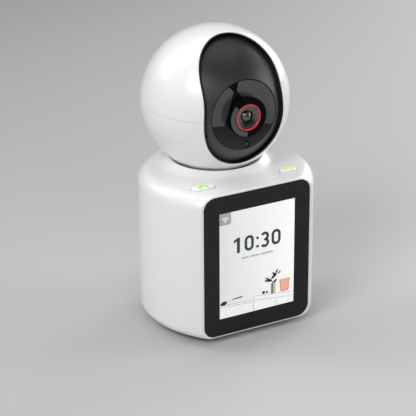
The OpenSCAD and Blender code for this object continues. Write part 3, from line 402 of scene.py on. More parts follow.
def lens_bands_and_reflection():
    """Coated lens: concentric bands of grey green and black under a clear polished surface; the grey green
    bands are a painted reflection.
    """
    mat = paint("lens_bands_and_reflection", (0.05, 0.06, 0.055), 0.1, coat=1.0, coat_rough=0.02, ior=1.7)
    tree = mat.node_tree
    place = tree.nodes.new("ShaderNodeTexCoord")

    def flatten(node):
        node.operation = "MULTIPLY_ADD"
        node.inputs[1].default_value = (1, 0, 1)
        node.inputs[2].default_value = (0, 0, -BALL_Z * MM)

    def length(node):
        node.operation = "LENGTH"

    def span(node):
        node.inputs["From Max"].default_value = LENS_R * MM

    def bands(node):
        ramp = node.color_ramp
        ramp.elements[0].position, ramp.elements[0].color = 0.0, (0.01, 0.012, 0.011, 1)
        ramp.elements[1].position, ramp.elements[1].color = 1.0, (0.05, 0.056, 0.052, 1)
        for at, grey in ((0.16, 0.008), (0.2, 0.055), (0.36, 0.04), (0.42, 0.004), (0.55, 0.004),
                         (0.58, 0.03), (0.7, 0.03), (0.73, 0.012), (0.86, 0.055)):
            ramp.elements.new(at).color = (grey * 0.92, grey, grey * 0.9, 1)

    colour = node_chain(tree, place.outputs["Object"],
                        ("ShaderNodeVectorMath", flatten), ("ShaderNodeVectorMath", length),
                        ("ShaderNodeMapRange", span), ("ShaderNodeValToRGB", bands))
    tree.links.new(colour, tree.nodes["Principled BSDF"].inputs["Base Color"])
    return mat


LENS_BANDS_AND_REFLECTION = lens_bands_and_reflection()


def lit(name, colour, far=None):
    """Glowing picture colour behind glass; far is its colour at the picture's right."""
    mat = paint(name, colour, 0.3, specular=0.2, glow=colour, glow_strength=0.3, bump=0.001, grain=2500)
    return graded(mat, (1, 0, 0), -20, 20, colour, far, glow=True) if far else mat


# painted shade and light: the eye's drum is painted darker toward the top left and the plate darker toward
# the top, both paler toward the foot
DRUM_BLACK_PAINTED_SHADE = graded(
    paint("drum_black_painted_shade", (0.03, 0.03, 0.03), 0.42, specular=0.3, bump=0.004, grain=900, vary=0.12),
    (-0.35, 0, 1), BALL_Z + 34, BALL_Z - 28, (0.012, 0.012, 0.0125), (0.078, 0.078, 0.081))
PLATE_BLACK_PAINTED_SHADE = graded(
    paint("plate_black_painted_shade", (0.01, 0.01, 0.01), 0.25, specular=0.22, bump=0.003, grain=900, vary=0.12),
    (0.25, 0, 1), BALL_Z - 3, BALL_Z - 15, (0.004, 0.004, 0.0042), (0.018, 0.018, 0.019))

SLOT_OF = {part["node"]: part["material_slot"] for part in frame["record"]["subparts"]}
for node, obj in frame["nodes"].items():
    if not obj.material_slots:
        obj.data.materials.append(None)
    for entry in obj.material_slots:
        entry.link = "OBJECT"
        entry.material = MATS[SLOT_OF[node]]


def place_piece(obj, body, slot, *nodes, mat=None):
    """Finish, body and CAD nodes of a new piece."""
    obj.data.materials.clear()
    obj.data.materials.append(mat or MATS[slot])
    if nodes:
        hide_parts(*nodes)
    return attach(obj, body)


# ---------------------------------------------------------------- housing
def plan_row(inset, front, fillet, lift, round_z, round_r, lip):
    """One level of the barrel shape: right front corner, round the back, left front corner.

    The level lies at angle lift on a rounding of radius round_r whose centre is at height round_z.
    """
    side_steps, back_steps = 22, 36
    c, s = math.cos(lift), math.sin(lift)
    r_side = SIDE_R - inset - round_r + round_r * c
    r_back = HALF_W - inset - round_r + round_r * c
    row = []
    if lip:
        r_off = SIDE_R - inset - round_r + (round_r - lip) * c
        y_c = front + lip
        x_c = SIDE_CX + math.sqrt(r_off ** 2 - (y_c - BODY_CY) ** 2)
        centre = Vector((x_c, y_c, round_z + (round_r - lip) * s))
        side = Vector(((x_c - SIDE_CX) / r_off * c, (y_c - BODY_CY) / r_off * c, s))
        ahead = Vector((0, -1, 0))
        angle = ahead.angle(side)
        for i in range(fillet + 1):
            t = i / fillet
            n = (ahead * math.sin((1 - t) * angle) + side * math.sin(t * angle)) / math.sin(angle)
            row.append(tuple(centre + n * lip))
        a0 = math.atan2(y_c - BODY_CY, x_c - SIDE_CX)
    else:
        a0 = math.asin((front - BODY_CY) / r_side)
        row.append((SIDE_CX + r_side * math.cos(a0), front, round_z + round_r * s))
    for i in range(1, side_steps + 1):
        a = a0 * (1 - i / side_steps)
        row.append((SIDE_CX + r_side * math.cos(a), BODY_CY + r_side * math.sin(a), round_z + round_r * s))
    for i in range(1, back_steps + 1):
        a = math.pi / 2 * i / back_steps
        row.append((r_back * math.cos(a), BODY_CY + r_back * math.sin(a), round_z + round_r * s))
    return row + [(-x, y, z) for x, y, z in reversed(row[:-1])]


def barrel(name, inset, low, high, f_low, f_top, front, lip=0.0, fillet=6, steps=12):
    """Barrel shape moved in by inset, with its lower and upper rounding and a rounded front lip."""
    rows = []
    for i in range(steps + 1):
        lift = math.radians(90 * i / steps - 90)
        rows.append(plan_row(inset, front, fillet, lift, low + f_low, f_low, lip))
    for i in range(steps + 1):
        lift = math.radians(90 * i / steps)
        rows.append(plan_row(inset, front, fillet, lift, high - f_top, f_top, lip))
    width = len(rows[0])
    verts = [p for row in rows for p in row]
    faces = []
    for i in range(len(rows) - 1):
        for j in range(width - 1):
            a, b = i * width + j, (i + 1) * width + j
            faces.append((a, a + 1, b + 1, b))
    k = fillet if lip else 0
    for row in (0, len(rows) - 1):
        start = row * width
        for j in range(k):
            faces.append((start + j, start + j + 1, start + width - 2 - j, start + width - 1 - j))
        faces.append(tuple(range(start + k, start + width - k)))
    faces.append(tuple(i * width for i in range(len(rows)))
                 + tuple(i * width + width - 1 for i in reversed(range(len(rows)))))
    return piece(name, verts, faces)


def plan_outline(inset, front):
    """The barrel's plan as a flat outline."""
    return [(x, y) for x, y, _ in plan_row(inset, front, 0, 0.0, 0.0, 0.0, 0.0)]


# raised ring round the ball that sweeps down to the roof
collar_high, collar_steps = BODY_TOP + COLLAR_RISE, 24
collar = [(COLLAR_IN, BODY_TOP - 2), (COLLAR_IN, collar_high), (COLLAR_EDGE - 0.45, collar_high),
          (COLLAR_EDGE - 0.2, collar_high - 0.04)]
for i in range(collar_steps + 1):
    t = i / collar_steps
    rise = (COLLAR_RISE - 0.13) * (1 - t) ** 2
    collar.append((COLLAR_EDGE + (COLLAR_OUT - COLLAR_EDGE) * t, BODY_TOP + rise))
collar.append((COLLAR_OUT, BODY_TOP - 2))

# six-sided field of speaker holes
hole_profile = [(0, 26), (HOLE_R, 26), (HOLE_R, 40), (0, 40)]
grille = []
for i in range(-HOLE_ROWS, HOLE_ROWS + 1):
    for j in range(-HOLE_ROWS, HOLE_ROWS + 1):
        if abs(i + j) <= HOLE_ROWS:
            hole_at = ((i + j / 2) * HOLE_PITCH, SPEAKER_Z + j * ROW_PITCH)
            grille.append(lathe_y("hole", hole_profile, 20, hole_at, closed=False))


def key_slot(name, x, length):
    """Hole in the roof for a key."""
    outline = pill(length + 2 * KEY_GAP, KEY_W + 2 * KEY_GAP)
    return prism(name, outline, 77.5, 90, "z", (x, KEY_Y))


dish = ball("dish", DISH_R, 60, 128)
inside = carve("inside", barrel("hollow", WALL, BODY_LOW + WALL, BODY_TOP - WALL, LOW_R - WALL, TOP_R - WALL,
                                FRONT_Y + 3.0),
               [("DIFFERENCE", ball("under_dish", DISH_R + 2.2))])
housing = carve("housing_skin", barrel("outer", 0, BODY_LOW, BODY_TOP, LOW_R, TOP_R, FRONT_Y, LIP_R), [
    ("UNION", lathe_z("collar", collar, 128)),
    ("DIFFERENCE", inside),
    ("DIFFERENCE", dish),
    ("DIFFERENCE", lathe_z("neck_hole", [(0, 66), (NECK_HOLE_R, 66), (NECK_HOLE_R, 82), (0, 82)], 64,
                           closed=False)),
    ("DIFFERENCE", prism("glass_seat", round_rect(GLASS_W + 0.2, GLASS_H + 0.2, GLASS_R + 0.1),
                         FRONT_Y - 3, FRONT_Y + 1.2, "y", (0, SCREEN_Z))),
    ("DIFFERENCE", prism("cover_seat", plan_outline(LOW_R + 1.0, FRONT_Y + 5.0), 0, 6)),
    ("DIFFERENCE", key_slot("call_slot", -KEY_X, CALL_LEN)),
    ("DIFFERENCE", key_slot("hang_slot", KEY_X, HANG_LEN)),
    ("DIFFERENCE", prism("usb_seat", pill(*USB_SEAT), 33.4, 45, "y", (0, USB_Z))),
    ("DIFFERENCE", prism("usb_way", pill(*USB_WAY), 29, 40, "y", (0, USB_Z))),
    ("DIFFERENCE", joined("grille", grille)),
])
place_piece(housing, "housing", "white_shell", "body_shell")


def key(name, x, length, body, node):
    """Pill cap with a rounded top edge."""
    edge_steps = 6
    rows = [[(x + px, KEY_Y + py, KEY_LOW) for px, py in pill(length, KEY_W)]]
    for i in range(edge_steps + 1):
        a = math.pi / 2 * i / edge_steps
        d = KEY_EDGE * (1 - math.cos(a))
        z = KEY_TOP - KEY_EDGE + KEY_EDGE * math.sin(a)
        rows.append([(x + px, KEY_Y + py, z) for px, py in pill(length - 2 * d, KEY_W - 2 * d)])
    obj = grid(name, rows)
    bm = bmesh.new()
    bm.from_mesh(obj.data)
    rim = [e for e in bm.edges if e.is_boundary and e.verts[0].co.z > (KEY_TOP - 0.01) * MM]
    bmesh.ops.contextual_create(bm, geom=rim)
    bmesh.ops.recalc_face_normals(bm, faces=bm.faces)
    bm.to_mesh(obj.data)
    bm.free()
    return place_piece(smooth(obj, 50), body, "white_shell", node, mat=KEY_WHITE)


key("call_cap", -KEY_X, CALL_LEN, "call_key", "call_button")
key("hang_cap", KEY_X, HANG_LEN, "hangup_key", "hangup_button")


def key_gap_shade(name, x, length):
    """Black ring in the gap round a key, just below the roof: painted shade that darkens the gap."""
    low, high, clear = BODY_TOP - 1.4, BODY_TOP - 0.22, 0.04

    def ring(gap, z):
        return [(x + px, KEY_Y + py, z) for px, py in pill(length + 2 * gap, KEY_W + 2 * gap)]

    rows = [ring(clear, low), ring(KEY_GAP - 0.01, low), ring(KEY_GAP - 0.01, high), ring(clear, high)]
    return place_piece(grid(name, rows, closed_rows=True), "housing", "rubber", mat=DEEP_BLACK)


key_gap_shade("call_gap_shade", -KEY_X, CALL_LEN)
key_gap_shade("hang_gap_shade", KEY_X, HANG_LEN)


def sign(name, x, body, slot, node, size=1.0):
    """Handset sign laid into a key: an arch with two short ends."""
    r_out, r_in, low = 2.7 * size, 1.3 * size, -1.2 * size
    outline = (arc(0, 0, r_out, 0, 180, 28) + [(-r_out, low), (-r_in, low)]
               + arc(0, -0.55, r_in, 180, 0, 18) + [(r_in, low), (r_out, low)])
    obj = prism(name, outline, KEY_TOP - 0.05, KEY_TOP + 0.04, "z", (x, KEY_Y - 0.7))
    return place_piece(smooth(obj, 40), body, slot, node)


sign("call_sign", -KEY_X, "call_key", "green_sign", "call_icon")
sign("hang_sign", KEY_X, "hangup_key", "yellow_sign", "hangup_icon", 0.85)


# ---------------------------------------------------------------- ball head
def window_polar(t):
    """Angle between the window's axis and its edge, at azimuth t: an egg shape."""
    return math.radians(47.8 + 12.1 * math.cos(2 * t) + 0.9 * math.cos(3 * t))


def on_window_axis(s, h, t):
    """Point s away from the window's axis at azimuth t, h along that axis from the ball centre."""
    x, y, z = s * math.sin(t), -h, s * math.cos(t)
    c, k = math.cos(TILT), math.sin(TILT)
    return (x, y * c + z * k, BALL_Z - y * k + z * c)


def ball_skin(name):
    """Whole thin ball with the window cut through it and its lip rounded."""
    steps, lip_steps, out_steps, in_steps = 160, 6, 56, 28
    profiles = []
    for i in range(steps):
        t = 2 * math.pi * i / steps
        s0 = BALL_R * math.sin(window_polar(t))
        lip_s = s0 + WINDOW_LIP
        lip_h = math.sqrt((BALL_R - WINDOW_LIP) ** 2 - lip_s ** 2)
        lip_end = math.atan2(lip_h, lip_s)
        pts = [(s0, math.sqrt(BALL_IN ** 2 - s0 ** 2))]
        for j in range(lip_steps + 1):
            a = math.pi + (lip_end - math.pi) * j / lip_steps
            pts.append((lip_s + WINDOW_LIP * math.cos(a), lip_h + WINDOW_LIP * math.sin(a)))
        out_from = math.pi / 2 - lip_end
        for j in range(1, out_steps + 1):
            a = out_from + (math.pi - out_from) * (j / out_steps)
            pts.append((BALL_R * math.sin(a), BALL_R * math.cos(a)))
        in_end = math.asin(s0 / BALL_IN)
        for j in range(in_steps + 1):
            a = math.pi + (in_end - math.pi) * (j / in_steps)
            pts.append((BALL_IN * math.sin(a), BALL_IN * math.cos(a)))
        profiles.append([on_window_axis(s, h, t) for s, h in pts])
    rows = [[profiles[i][j] for i in range(steps)] for j in range(len(profiles[0]))]
    return grid(name, rows)


def seam_ring():
    """Cutter for the fine groove between the two ball shells."""
    r, h = BALL_R - 0.3, 0.11
    return lathe_z("seam", [(r, BALL_Z - h), (r + 2, BALL_Z - h), (r + 2, BALL_Z + h), (r, BALL_Z + h)], 128)


upper = carve("ball_skin_upper", ball_skin("whole"), [
    ("INTERSECT", block("above", (-50, -50, BALL_Z), (50, 50, 170))),
    ("DIFFERENCE", seam_ring()),
])
place_piece(upper, "ball_head", "white_shell", "ball_upper_shell")

posts = carve("posts", joined("post_pair", [
    lathe_z("post", [(0, 90), (POST_R, 90), (POST_R, BALL_Z - 0.2), (0, BALL_Z - 0.2)], 40, (x, POST_Y),
            closed=False) for x in (-POST_X, POST_X)]), [("INTERSECT", ball("post_limit", BALL_R - 0.7))])
lower = carve("ball_skin_lower", ball_skin("whole"), [
    ("INTERSECT", block("below", (-50, -50, 79), (50, 50, BALL_Z))),
    ("UNION", posts),
    ("UNION", lathe_z("neck", [(6.5, 69), (11, 69), (11, 79.6), (6.5, 80.2)], 72)),
    ("DIFFERENCE", seam_ring()),
    ("DIFFERENCE", joined("screw_ways", [
        lathe_z("way", [(0, 70), (SCREW_WAY_R, 70), (SCREW_WAY_R, 109), (0, 109)], 32, (x, POST_Y),
                closed=False) for x in (-POST_X, POST_X)])),
])
place_piece(lower, "ball_head", "white_shell", "ball_lower_shell")


def lining():
    """Black ring inside the window's edge."""
    steps, edge_steps = 160, 5
    front, rear = BALL_R - 0.5, DRUM_R + 0.36
    profiles = []
    for i in range(steps):
        t = 2 * math.pi * i / steps
        s0 = BALL_R * math.sin(window_polar(t))
        outer, inner = s0 - 0.02, s0 - 0.5
        h_front = math.sqrt(front ** 2 - s0 ** 2)
        h_edge = h_front + 0.1 - LINING_EDGE
        pts = [(outer, math.sqrt(rear ** 2 - s0 ** 2)), (outer, h_front)]
        for j in range(edge_steps + 1):
            a = math.pi / 2 + math.pi / 2 * j / edge_steps
            pts.append((inner + LINING_EDGE + LINING_EDGE * math.cos(a), h_edge + LINING_EDGE * math.sin(a)))
        pts.append((inner, math.sqrt(rear ** 2 - inner ** 2)))
        profiles.append([on_window_axis(s, h, t) for s, h in pts])
    rows = [[profiles[i][j] for i in range(steps)] for j in range(len(profiles[0]))]
    return grid("window_lining", rows, closed_rows=True)


place_piece(smooth(lining(), 40), "ball_head", "black_gloss", "window_bezel")


# ---------------------------------------------------------------- camera eye, about the tilt axis
def drum_outline():
    """Profile of the drum: flat face with a rounded edge, round side and flat rear."""
    edge_steps, side_steps = 6, 40
    edge_y = DRUM_EDGE - FACE_Y
    edge_r = math.sqrt((DRUM_R - DRUM_EDGE) ** 2 - edge_y ** 2)
    edge_end = math.atan2(edge_r, -edge_y)
    side_end = math.acos(-DRUM_REAR / DRUM_R)
    profile = [(0, -FACE_Y), (PLATE_R - 0.2, -FACE_Y)]
    for j in range(edge_steps + 1):
        a = edge_end * j / edge_steps
        profile.append((edge_r + DRUM_EDGE * math.sin(a), edge_y - DRUM_EDGE * math.cos(a)))
    for j in range(1, side_steps + 1):
        a = edge_end + (side_end - edge_end) * j / side_steps
        profile.append((DRUM_R * math.sin(a), -DRUM_R * math.cos(a)))
    return profile + [(0, DRUM_REAR)]


axis = (0, BALL_Z)


def through(name, radius, steps, centre=axis):
    """Round cutter along the eye's axis, from before its face to behind the plate."""
    profile = [(0, CUT_FRONT), (radius, CUT_FRONT), (radius, CUT_REAR), (0, CUT_REAR)]
    return lathe_y(name, profile, steps, centre, closed=False)


# microphone hole, square to the drum's side
mic_dir = Vector((-0.571, -0.787, -0.236)).normalized()
mic = lathe_z("mic_hole", [(0, -2.2), (MIC_R, -2.2), (MIC_R, 3), (0, 3)], 20, closed=False)
turn_to = Vector((0, 0, 1)).rotation_difference(mic_dir).to_matrix().to_4x4()
mic.data.transform(turn_to)
mic.data.transform(Matrix.Translation((mic_dir * DRUM_R + Vector((0, 0, BALL_Z))) * MM))
drum = carve("eye_drum", lathe_y("drum", drum_outline(), 160, axis, closed=False), [
    ("INTERSECT", block("drum_width", (-DRUM_HALF, -60, 60), (DRUM_HALF, 60, 170))),
    ("DIFFERENCE", lathe_y("plate_seat", [(0, CUT_FRONT), (PLATE_R + 0.07, CUT_FRONT),
                                          (PLATE_R + 0.07, -FACE_Y + PLATE_T), (0, -FACE_Y + PLATE_T)],
                           128, axis, closed=False)),
    ("DIFFERENCE", through("barrel_way", NECK_R + WAY_GAP, 96)),
    ("DIFFERENCE", mic),
])
place_piece(drum, "camera_eye", "black_gloss", "eye_shell", mat=DRUM_BLACK_PAINTED_SHADE)


def left_window(g):
    """Light window at the left of the plate, grown by g."""
    r_out = WINDOW_OUT + g
    a_top = math.degrees(math.acos((-8.5 + g) / r_out))
    a_low = 180 + math.degrees(math.asin((3.3 + g) / r_out))
    return arc(0, 0, r_out, a_top, a_low, 30) + [(-10.7 + g, -4.0 - g), (-5.7 + g, 13.0)]


def right_window(g):
    """Larger light window that wraps the top and the right of the lens, grown by g."""
    r_out, r_in = WINDOW_OUT + g, WINDOW_IN - g
    a_low = -math.degrees(math.asin((7.6 + g) / r_out))
    a_top = math.degrees(math.acos((-3.15 - g) / r_out))
    a_in_top = math.degrees(math.acos((-1.1 - g) / r_in))
    a_in_low = -math.degrees(math.asin((5.6 + g) / r_in))
    return (arc(0, 0, r_out, a_low, a_top, 40) + [(-4.0 - g, 13.3)]
            + arc(0, 0, r_in, a_in_top, a_in_low, 40) + [(9.5, -6.4 - g)])


plate_profile = [(0, -FACE_Y), (PLATE_R - 0.15, -FACE_Y), (PLATE_R - 0.05, -FACE_Y + 0.04),
                 (PLATE_R, -FACE_Y + 0.15), (PLATE_R, -FACE_Y + PLATE_T), (0, -FACE_Y + PLATE_T)]
plate = carve("eye_plate", lathe_y("plate", plate_profile, 144, axis, closed=False), [
    ("DIFFERENCE", through("barrel_way", NECK_R + WAY_GAP, 96)),
    ("DIFFERENCE", through("sensor_way", SENSOR_R + 0.08, 40, (SENSOR_X, BALL_Z + SENSOR_Z))),
    ("DIFFERENCE", prism("seat_a", left_window(0.06), CUT_FRONT, -FACE_Y + 0.55, "y", axis)),
    ("DIFFERENCE", prism("seat_b", right_window(0.06), CUT_FRONT, -FACE_Y + 0.55, "y", axis)),
])
place_piece(plate, "camera_eye", "black_gloss", "eye_face", mat=PLATE_BLACK_PAINTED_SHADE)


def bevelled(name, outline, low, high, edge, where):
    """Prism facing the front with a fine bevel on every edge."""
    obj = prism(name, outline, low, high, "y", where)
    mod = obj.modifiers.new("edge", "BEVEL")
    mod.width, mod.segments, mod.limit_method, mod.angle_limit = edge * MM, 2, "ANGLE", math.radians(40)
    return smooth(obj, 40)


place_piece(bevelled("window_a", left_window(0), -FACE_Y + 0.05, -FACE_Y + 0.54, 0.06, axis),
            "camera_eye", "smoke_window", "led_window_left")
place_piece(bevelled("window_b", right_window(0), -FACE_Y + 0.05, -FACE_Y + 0.54, 0.06, axis),
            "camera_eye", "smoke_window", "led_window_right")


def crescent(g):
    """Light band on the cap, from the upper left round to the bottom."""
    return arc(0, 0, 9.85 + g, 136.0, 267.0, 48) + arc(0, 0, 7.35 - g, 267.0, 136.0, 48)


def rounded_edge(r, y, edge, turn_from, turn_to, steps=5):
    """Profile points round an edge whose centre is at radius r and depth y."""
    return [(r + edge * math.cos(math.radians(a)), y + edge * math.sin(math.radians(a)))
            for a in (turn_from + (turn_to - turn_from) * j / steps for j in range(steps + 1))]


neck_profile = [(12, -26.6), (NECK_R, -26.6), (NECK_R, CAP_REAR), (SPIGOT_R, CAP_REAR), (SPIGOT_R, RING_REAR),
                (LENS_R, RING_REAR), (LENS_R, PUPIL_REAR), (PUPIL_R, PUPIL_REAR), (PUPIL_R, -30), (8, -30),
                (8, -22), (9, -22), (9, -25.3), (12, -25.3)]
place_piece(smooth(lathe_y("eye_neck", neck_profile, 96, axis), 40), "camera_eye", "black_gloss",
            "lens_barrel", mat=DEEP_BLACK)
cap_profile = ([(SPIGOT_R + 0.03, CAP_REAR)] + rounded_edge(CAP_R - 0.25, CAP_REAR - 0.25, 0.25, 90, 0)
               + rounded_edge(CAP_R - 0.3, CAP_FRONT + 0.3, 0.3, 0, -90)
               + [(7.1, CAP_FRONT), (7.03, CAP_FRONT + 0.07), (7.03, RING_REAR),
                  (SPIGOT_R + 0.03, RING_REAR)])
cap = carve("eye_cap", lathe_y("cap", cap_profile, 144, axis), [
    ("DIFFERENCE", prism("crescent_seat", crescent(0.05), CUT_FRONT, CAP_FRONT + 0.3, "y", axis))])
place_piece(cap, "camera_eye", "black_gloss", "lens_cap", mat=DEEP_BLACK)
place_piece(bevelled("crescent", crescent(0), CAP_FRONT + 0.02, CAP_FRONT + 0.3, 0.06, axis),
            "camera_eye", "smoke_window", "lens_crescent")

ring_profile = ([(LENS_R, RING_REAR), (RING_R, RING_REAR)]
                + rounded_edge(RING_R - RING_EDGE, -34.15, RING_EDGE, 0, -90)
                + rounded_edge(LENS_R + RING_EDGE, -34.15, RING_EDGE, -90, -180))
place_piece(smooth(lathe_y("red_ring", ring_profile, 96, axis), 40), "camera_eye", "red_ring", "lens_ring")

inner_dome = [(PUPIL_R * math.sin(a), -30.3 - PUPIL_R * math.cos(a))
              for a in np.linspace(0, math.radians(56), 14)]
lens_steps = [(2.9, -31.4), (3.3, -31.4), (3.5, -32.4), (4.3, -32.6), (4.35, -32.9), (5.3, -33.15),
              (5.35, -33.35), (5.95, RING_REAR), (LENS_R - 0.05, -33.4), (LENS_R - 0.05, PUPIL_REAR),
              (0, PUPIL_REAR)]
place_piece(smooth(lathe_y("lens_stack", inner_dome + lens_steps, 96, axis, closed=False), 25), "camera_eye",
            "lens_glass", "lens_front", mat=LENS_BANDS_AND_REFLECTION)

sensor_at = (SENSOR_X, BALL_Z + SENSOR_Z)
dome_r = SENSOR_R - 0.2
rim_profile = [(dome_r, -28), (SENSOR_R, -28), (SENSOR_R, -29.72), (SENSOR_R - 0.08, -29.75),
               (dome_r + 0.02, -29.7)]
place_piece(smooth(lathe_y("sensor_rim", rim_profile, 48, sensor_at), 40), "camera_eye", "black_gloss",
            "light_sensor", mat=DEEP_BLACK)
sensor_dome = [(dome_r * math.sin(a), -29.68 + 0.4 * (1 - math.cos(a)))
               for a in np.linspace(0, math.pi / 2, 9)]
sensor_dome += [(dome_r, -28), (0, -28)]
place_piece(smooth(lathe_y("sensor_eye", sensor_dome, 48, sensor_at, closed=False), 40), "camera_eye",
            "sensor_green")

# two small matte black marks low on the plate
for name, outline, at in (("plate_dot", arc(0, 0, 0.32, 0, 360, 16)[:-1], (8.9, -14.9)),
                          ("plate_dash", round_rect(1.3, 0.28, 0.13, 3), (4.3, -17.2))):
    place_piece(bevelled(name, outline, -FACE_Y - 0.03, -FACE_Y + 0.2, 0.02, (at[0], BALL_Z + at[1])),
                "camera_eye", "black_matte")


# ---------------------------------------------------------------- display
glass = bevelled("display_glass", round_rect(GLASS_W, GLASS_H, GLASS_R), SCREEN_Y + 0.03, FRONT_Y + 1.2, 0.25,
                 (0, SCREEN_Z))
place_piece(glass, "housing", "front_glass", "front_glass")


def sheet(name, outline, layer, mat, where=(0, 0)):
    """Thin picture element on the display; x and z from the middle of the picture."""
    y = SCREEN_Y - LAYER_STEP * layer
    obj = prism(name, outline, y, y + SHEET_T, "y", (where[0], SCREEN_Z + where[1]))
    return place_piece(obj, "housing", "lcd", mat=mat)


def sheets(name, outlines, layer, mat):
    """Several picture elements of one colour as one piece."""
    y = SCREEN_Y - LAYER_STEP * layer
    parts = [prism(name, outline, y, y + SHEET_T, "y", (0, SCREEN_Z)) for outline in outlines]
    return place_piece(joined(name, parts), "housing", "lcd", mat=mat)


def ribbon(path, width, closed=False):
    """Flat stroke along a path as a list of quads."""
    n = len(path)
    sides = []
    for i, p in enumerate(path):
        before = path[(i - 1) % n] if closed or i else p
        after = path[(i + 1) % n] if closed or i < n - 1 else p
        dx, dz = after[0] - before[0], after[1] - before[1]
        span = math.hypot(dx, dz)
        ox, oz = -dz / span * width / 2, dx / span * width / 2
        sides.append(((p[0] + ox, p[1] + oz), (p[0] - ox, p[1] - oz)))
    pairs = list(zip(sides, sides[1:] + sides[:1])) if closed else list(zip(sides, sides[1:]))
    return [[a[0], a[1], b[1], b[0]] for a, b in pairs]


def moved(points, x, z):
    """Outline moved across the picture."""
    return [(px + x, pz + z) for px, pz in points]


def zero(x):
    """Digit 0 of the clock as an upright stroked pill."""
    upright = [(-pz, px) for px, pz in pill(7.0, 3.8, 14)]
    return ribbon(moved(upright, x, 9.9), 1.5, closed=True)


def leaf(base, tip, width, steps=8):
    """Pointed oval between two ends."""
    dx, dz = tip[0] - base[0], tip[1] - base[1]
    span = math.hypot(dx, dz)
    ox, oz = -dz / span, dx / span
    edge = [(i / steps, width / 2 * math.sin(math.pi * i / steps) ** 0.8) for i in range(steps + 1)]
    left = [(base[0] + dx * t + ox * w, base[1] + dz * t + oz * w) for t, w in edge]
    right = [(base[0] + dx * t - ox * w, base[1] + dz * t - oz * w) for t, w in edge[1:-1]]
    return left + right[::-1]


INK = lit("picture_ink", (0.045, 0.05, 0.055))
PAPER = lit("picture_paper", (0.70, 0.71, 0.72), (0.93, 0.935, 0.94))
sheet("picture", round_rect(PICTURE_W, PICTURE_H, 0.1, 2), 0, PAPER)

# status corner with its wave sign
corner_w, corner_h = 6.5, 6.3
box_x, box_z = corner_w / 2 - PICTURE_W / 2, PICTURE_H / 2 - corner_h / 2
corner = ([(-corner_w / 2, corner_h / 2), (-corner_w / 2, -corner_h / 2)]
          + arc(corner_w / 2 - 1.2, 1.2 - corner_h / 2, 1.2, -90, 0, 8) + [(corner_w / 2, corner_h / 2)])
sheet("status_corner", corner, 1, lit("status_grey", (0.33, 0.34, 0.35), (0.5, 0.5, 0.51)), (box_x, box_z))
wave_x, wave_z = -18.3, 23.9
waves = [quad for r in (0.95, 1.75, 2.55) for quad in ribbon(arc(wave_x, wave_z, r, 45, 135, 8), 0.38)]
sheets("status_waves", waves + [moved(arc(0, 0, 0.33, 0, 360, 12)[:-1], wave_x, wave_z)], 2,
       lit("status_white", (0.82, 0.83, 0.84)))

# clock
one = [(-11.75, 5.7), (-10.0, 5.7), (-10.0, 14.1), (-11.2, 14.1), (-13.5, 12.9), (-13.5, 11.4),
       (-11.75, 12.1)]
three = arc(4.3, 11.65, 1.72, 150, -90, 14) + arc(4.3, 8.1, 1.83, 90, -150, 14)[1:]
colon = [moved(arc(0, 0, 0.8, 0, 360, 16)[:-1], 0.1, z) for z in (7.0, 11.6)]
sheets("clock", [one] + zero(-4.7) + colon + ribbon(three, 1.5) + zero(10.9), 1, INK)
bars = [moved(round_rect(w, 1.0, 0.4, 4), x, 2.3) for x, w in ((-6.9, 4.2), (-1.4, 5.4), (5.6, 7.0))]
sheets("date_bars", bars, 1, lit("picture_grey", (0.44, 0.45, 0.46)))

# room drawing: cupboard tops, doors and a few things that stand on them
LINE = lit("picture_line", (0.42, 0.43, 0.45))
edge_left, edge_right = -PICTURE_W / 2 + 0.2, PICTURE_W / 2 - 0.2
foot_z = -PICTURE_H / 2
sheets("cupboard_fronts", [
    [(edge_left, foot_z), (-2.4, foot_z), (-2.4, -22.5), (edge_left, -21.4)],
    [(-1.85, foot_z), (edge_right, foot_z), (edge_right, -23.0), (10.7, -21.9), (-1.85, -20.5)]], 1,
    lit("cupboard", (0.80, 0.81, 0.82), (0.90, 0.90, 0.90)))
sheets("cupboard_lines", sum([ribbon(path, 0.28) for path in (
    [(edge_left, -21.4), (-2.4, -22.5)], [(-2.1, -20.6), (-2.1, foot_z)],
    [(-1.85, -20.5), (10.7, -21.9), (edge_right, -23.0)], [(11.1, -25.2), (11.1, foot_z)],
    [(edge_left, -22.5), (-2.4, -23.5)], [(-1.85, -22.9), (10.7, -24.2), (edge_right, -25.2)])], []), 2, LINE)
sheets("small_things", [moved(round_rect(1.5, 1.7, 0.4, 4), 3.8, -19.7),
                        moved(round_rect(1.2, 1.2, 0.4, 4), 5.8, -19.9),
                        [(-14.4, -19.5), (-8.6, -19.4), (-8.6, -18.7), (-14.4, -19.0)]], 3, INK)
sheets("vase", [[(8.1, -21.4), (10.9, -21.5), (10.9, -15.6), (8.1, -15.4)]], 3,
       lit("vase_glaze", (0.50, 0.53, 0.42)))
sheets("vase_shade", [[(8.3, -21.4), (9.5, -21.45), (9.5, -15.7), (8.3, -15.6)]], 4,
       lit("vase_grey", (0.17, 0.18, 0.13)))
leaves = [leaf(base, tip, w) for base, tip, w in (
    ((8.9, -14.4), (4.0, -13.2), 1.1), ((8.3, -13.9), (4.6, -11.7), 1.0), ((8.3, -13.2), (11.4, -10.9), 1.1),
    ((8.7, -9.6), (11.4, -11.8), 1.2), ((10.7, -10.9), (12.0, -8.2), 0.9), ((12.0, -11.3), (13.8, -9.3), 0.7),
    ((9.3, -15.6), (11.6, -13.8), 1.2), ((edge_left, -20.9), (-17.3, -20.0), 2.2))]
stems = ribbon([(9.3, -15.5), (8.2, -13.5), (8.8, -11.7), (10.9, -10.6)], 0.35)
sheets("leaves", leaves + stems, 5, lit("leaf_green", (0.022, 0.03, 0.008)))


def tumbler(left, right, low, high):
    """Cup outline, narrower at its foot, with rounded lower corners."""
    taper, r = 0.8, 0.7
    return ([(left, high)] + arc(left + taper + r, low + r, r, 190, 270, 6)
            + arc(right - taper - r, low + r, r, 270, 350, 6) + [(right, high)])


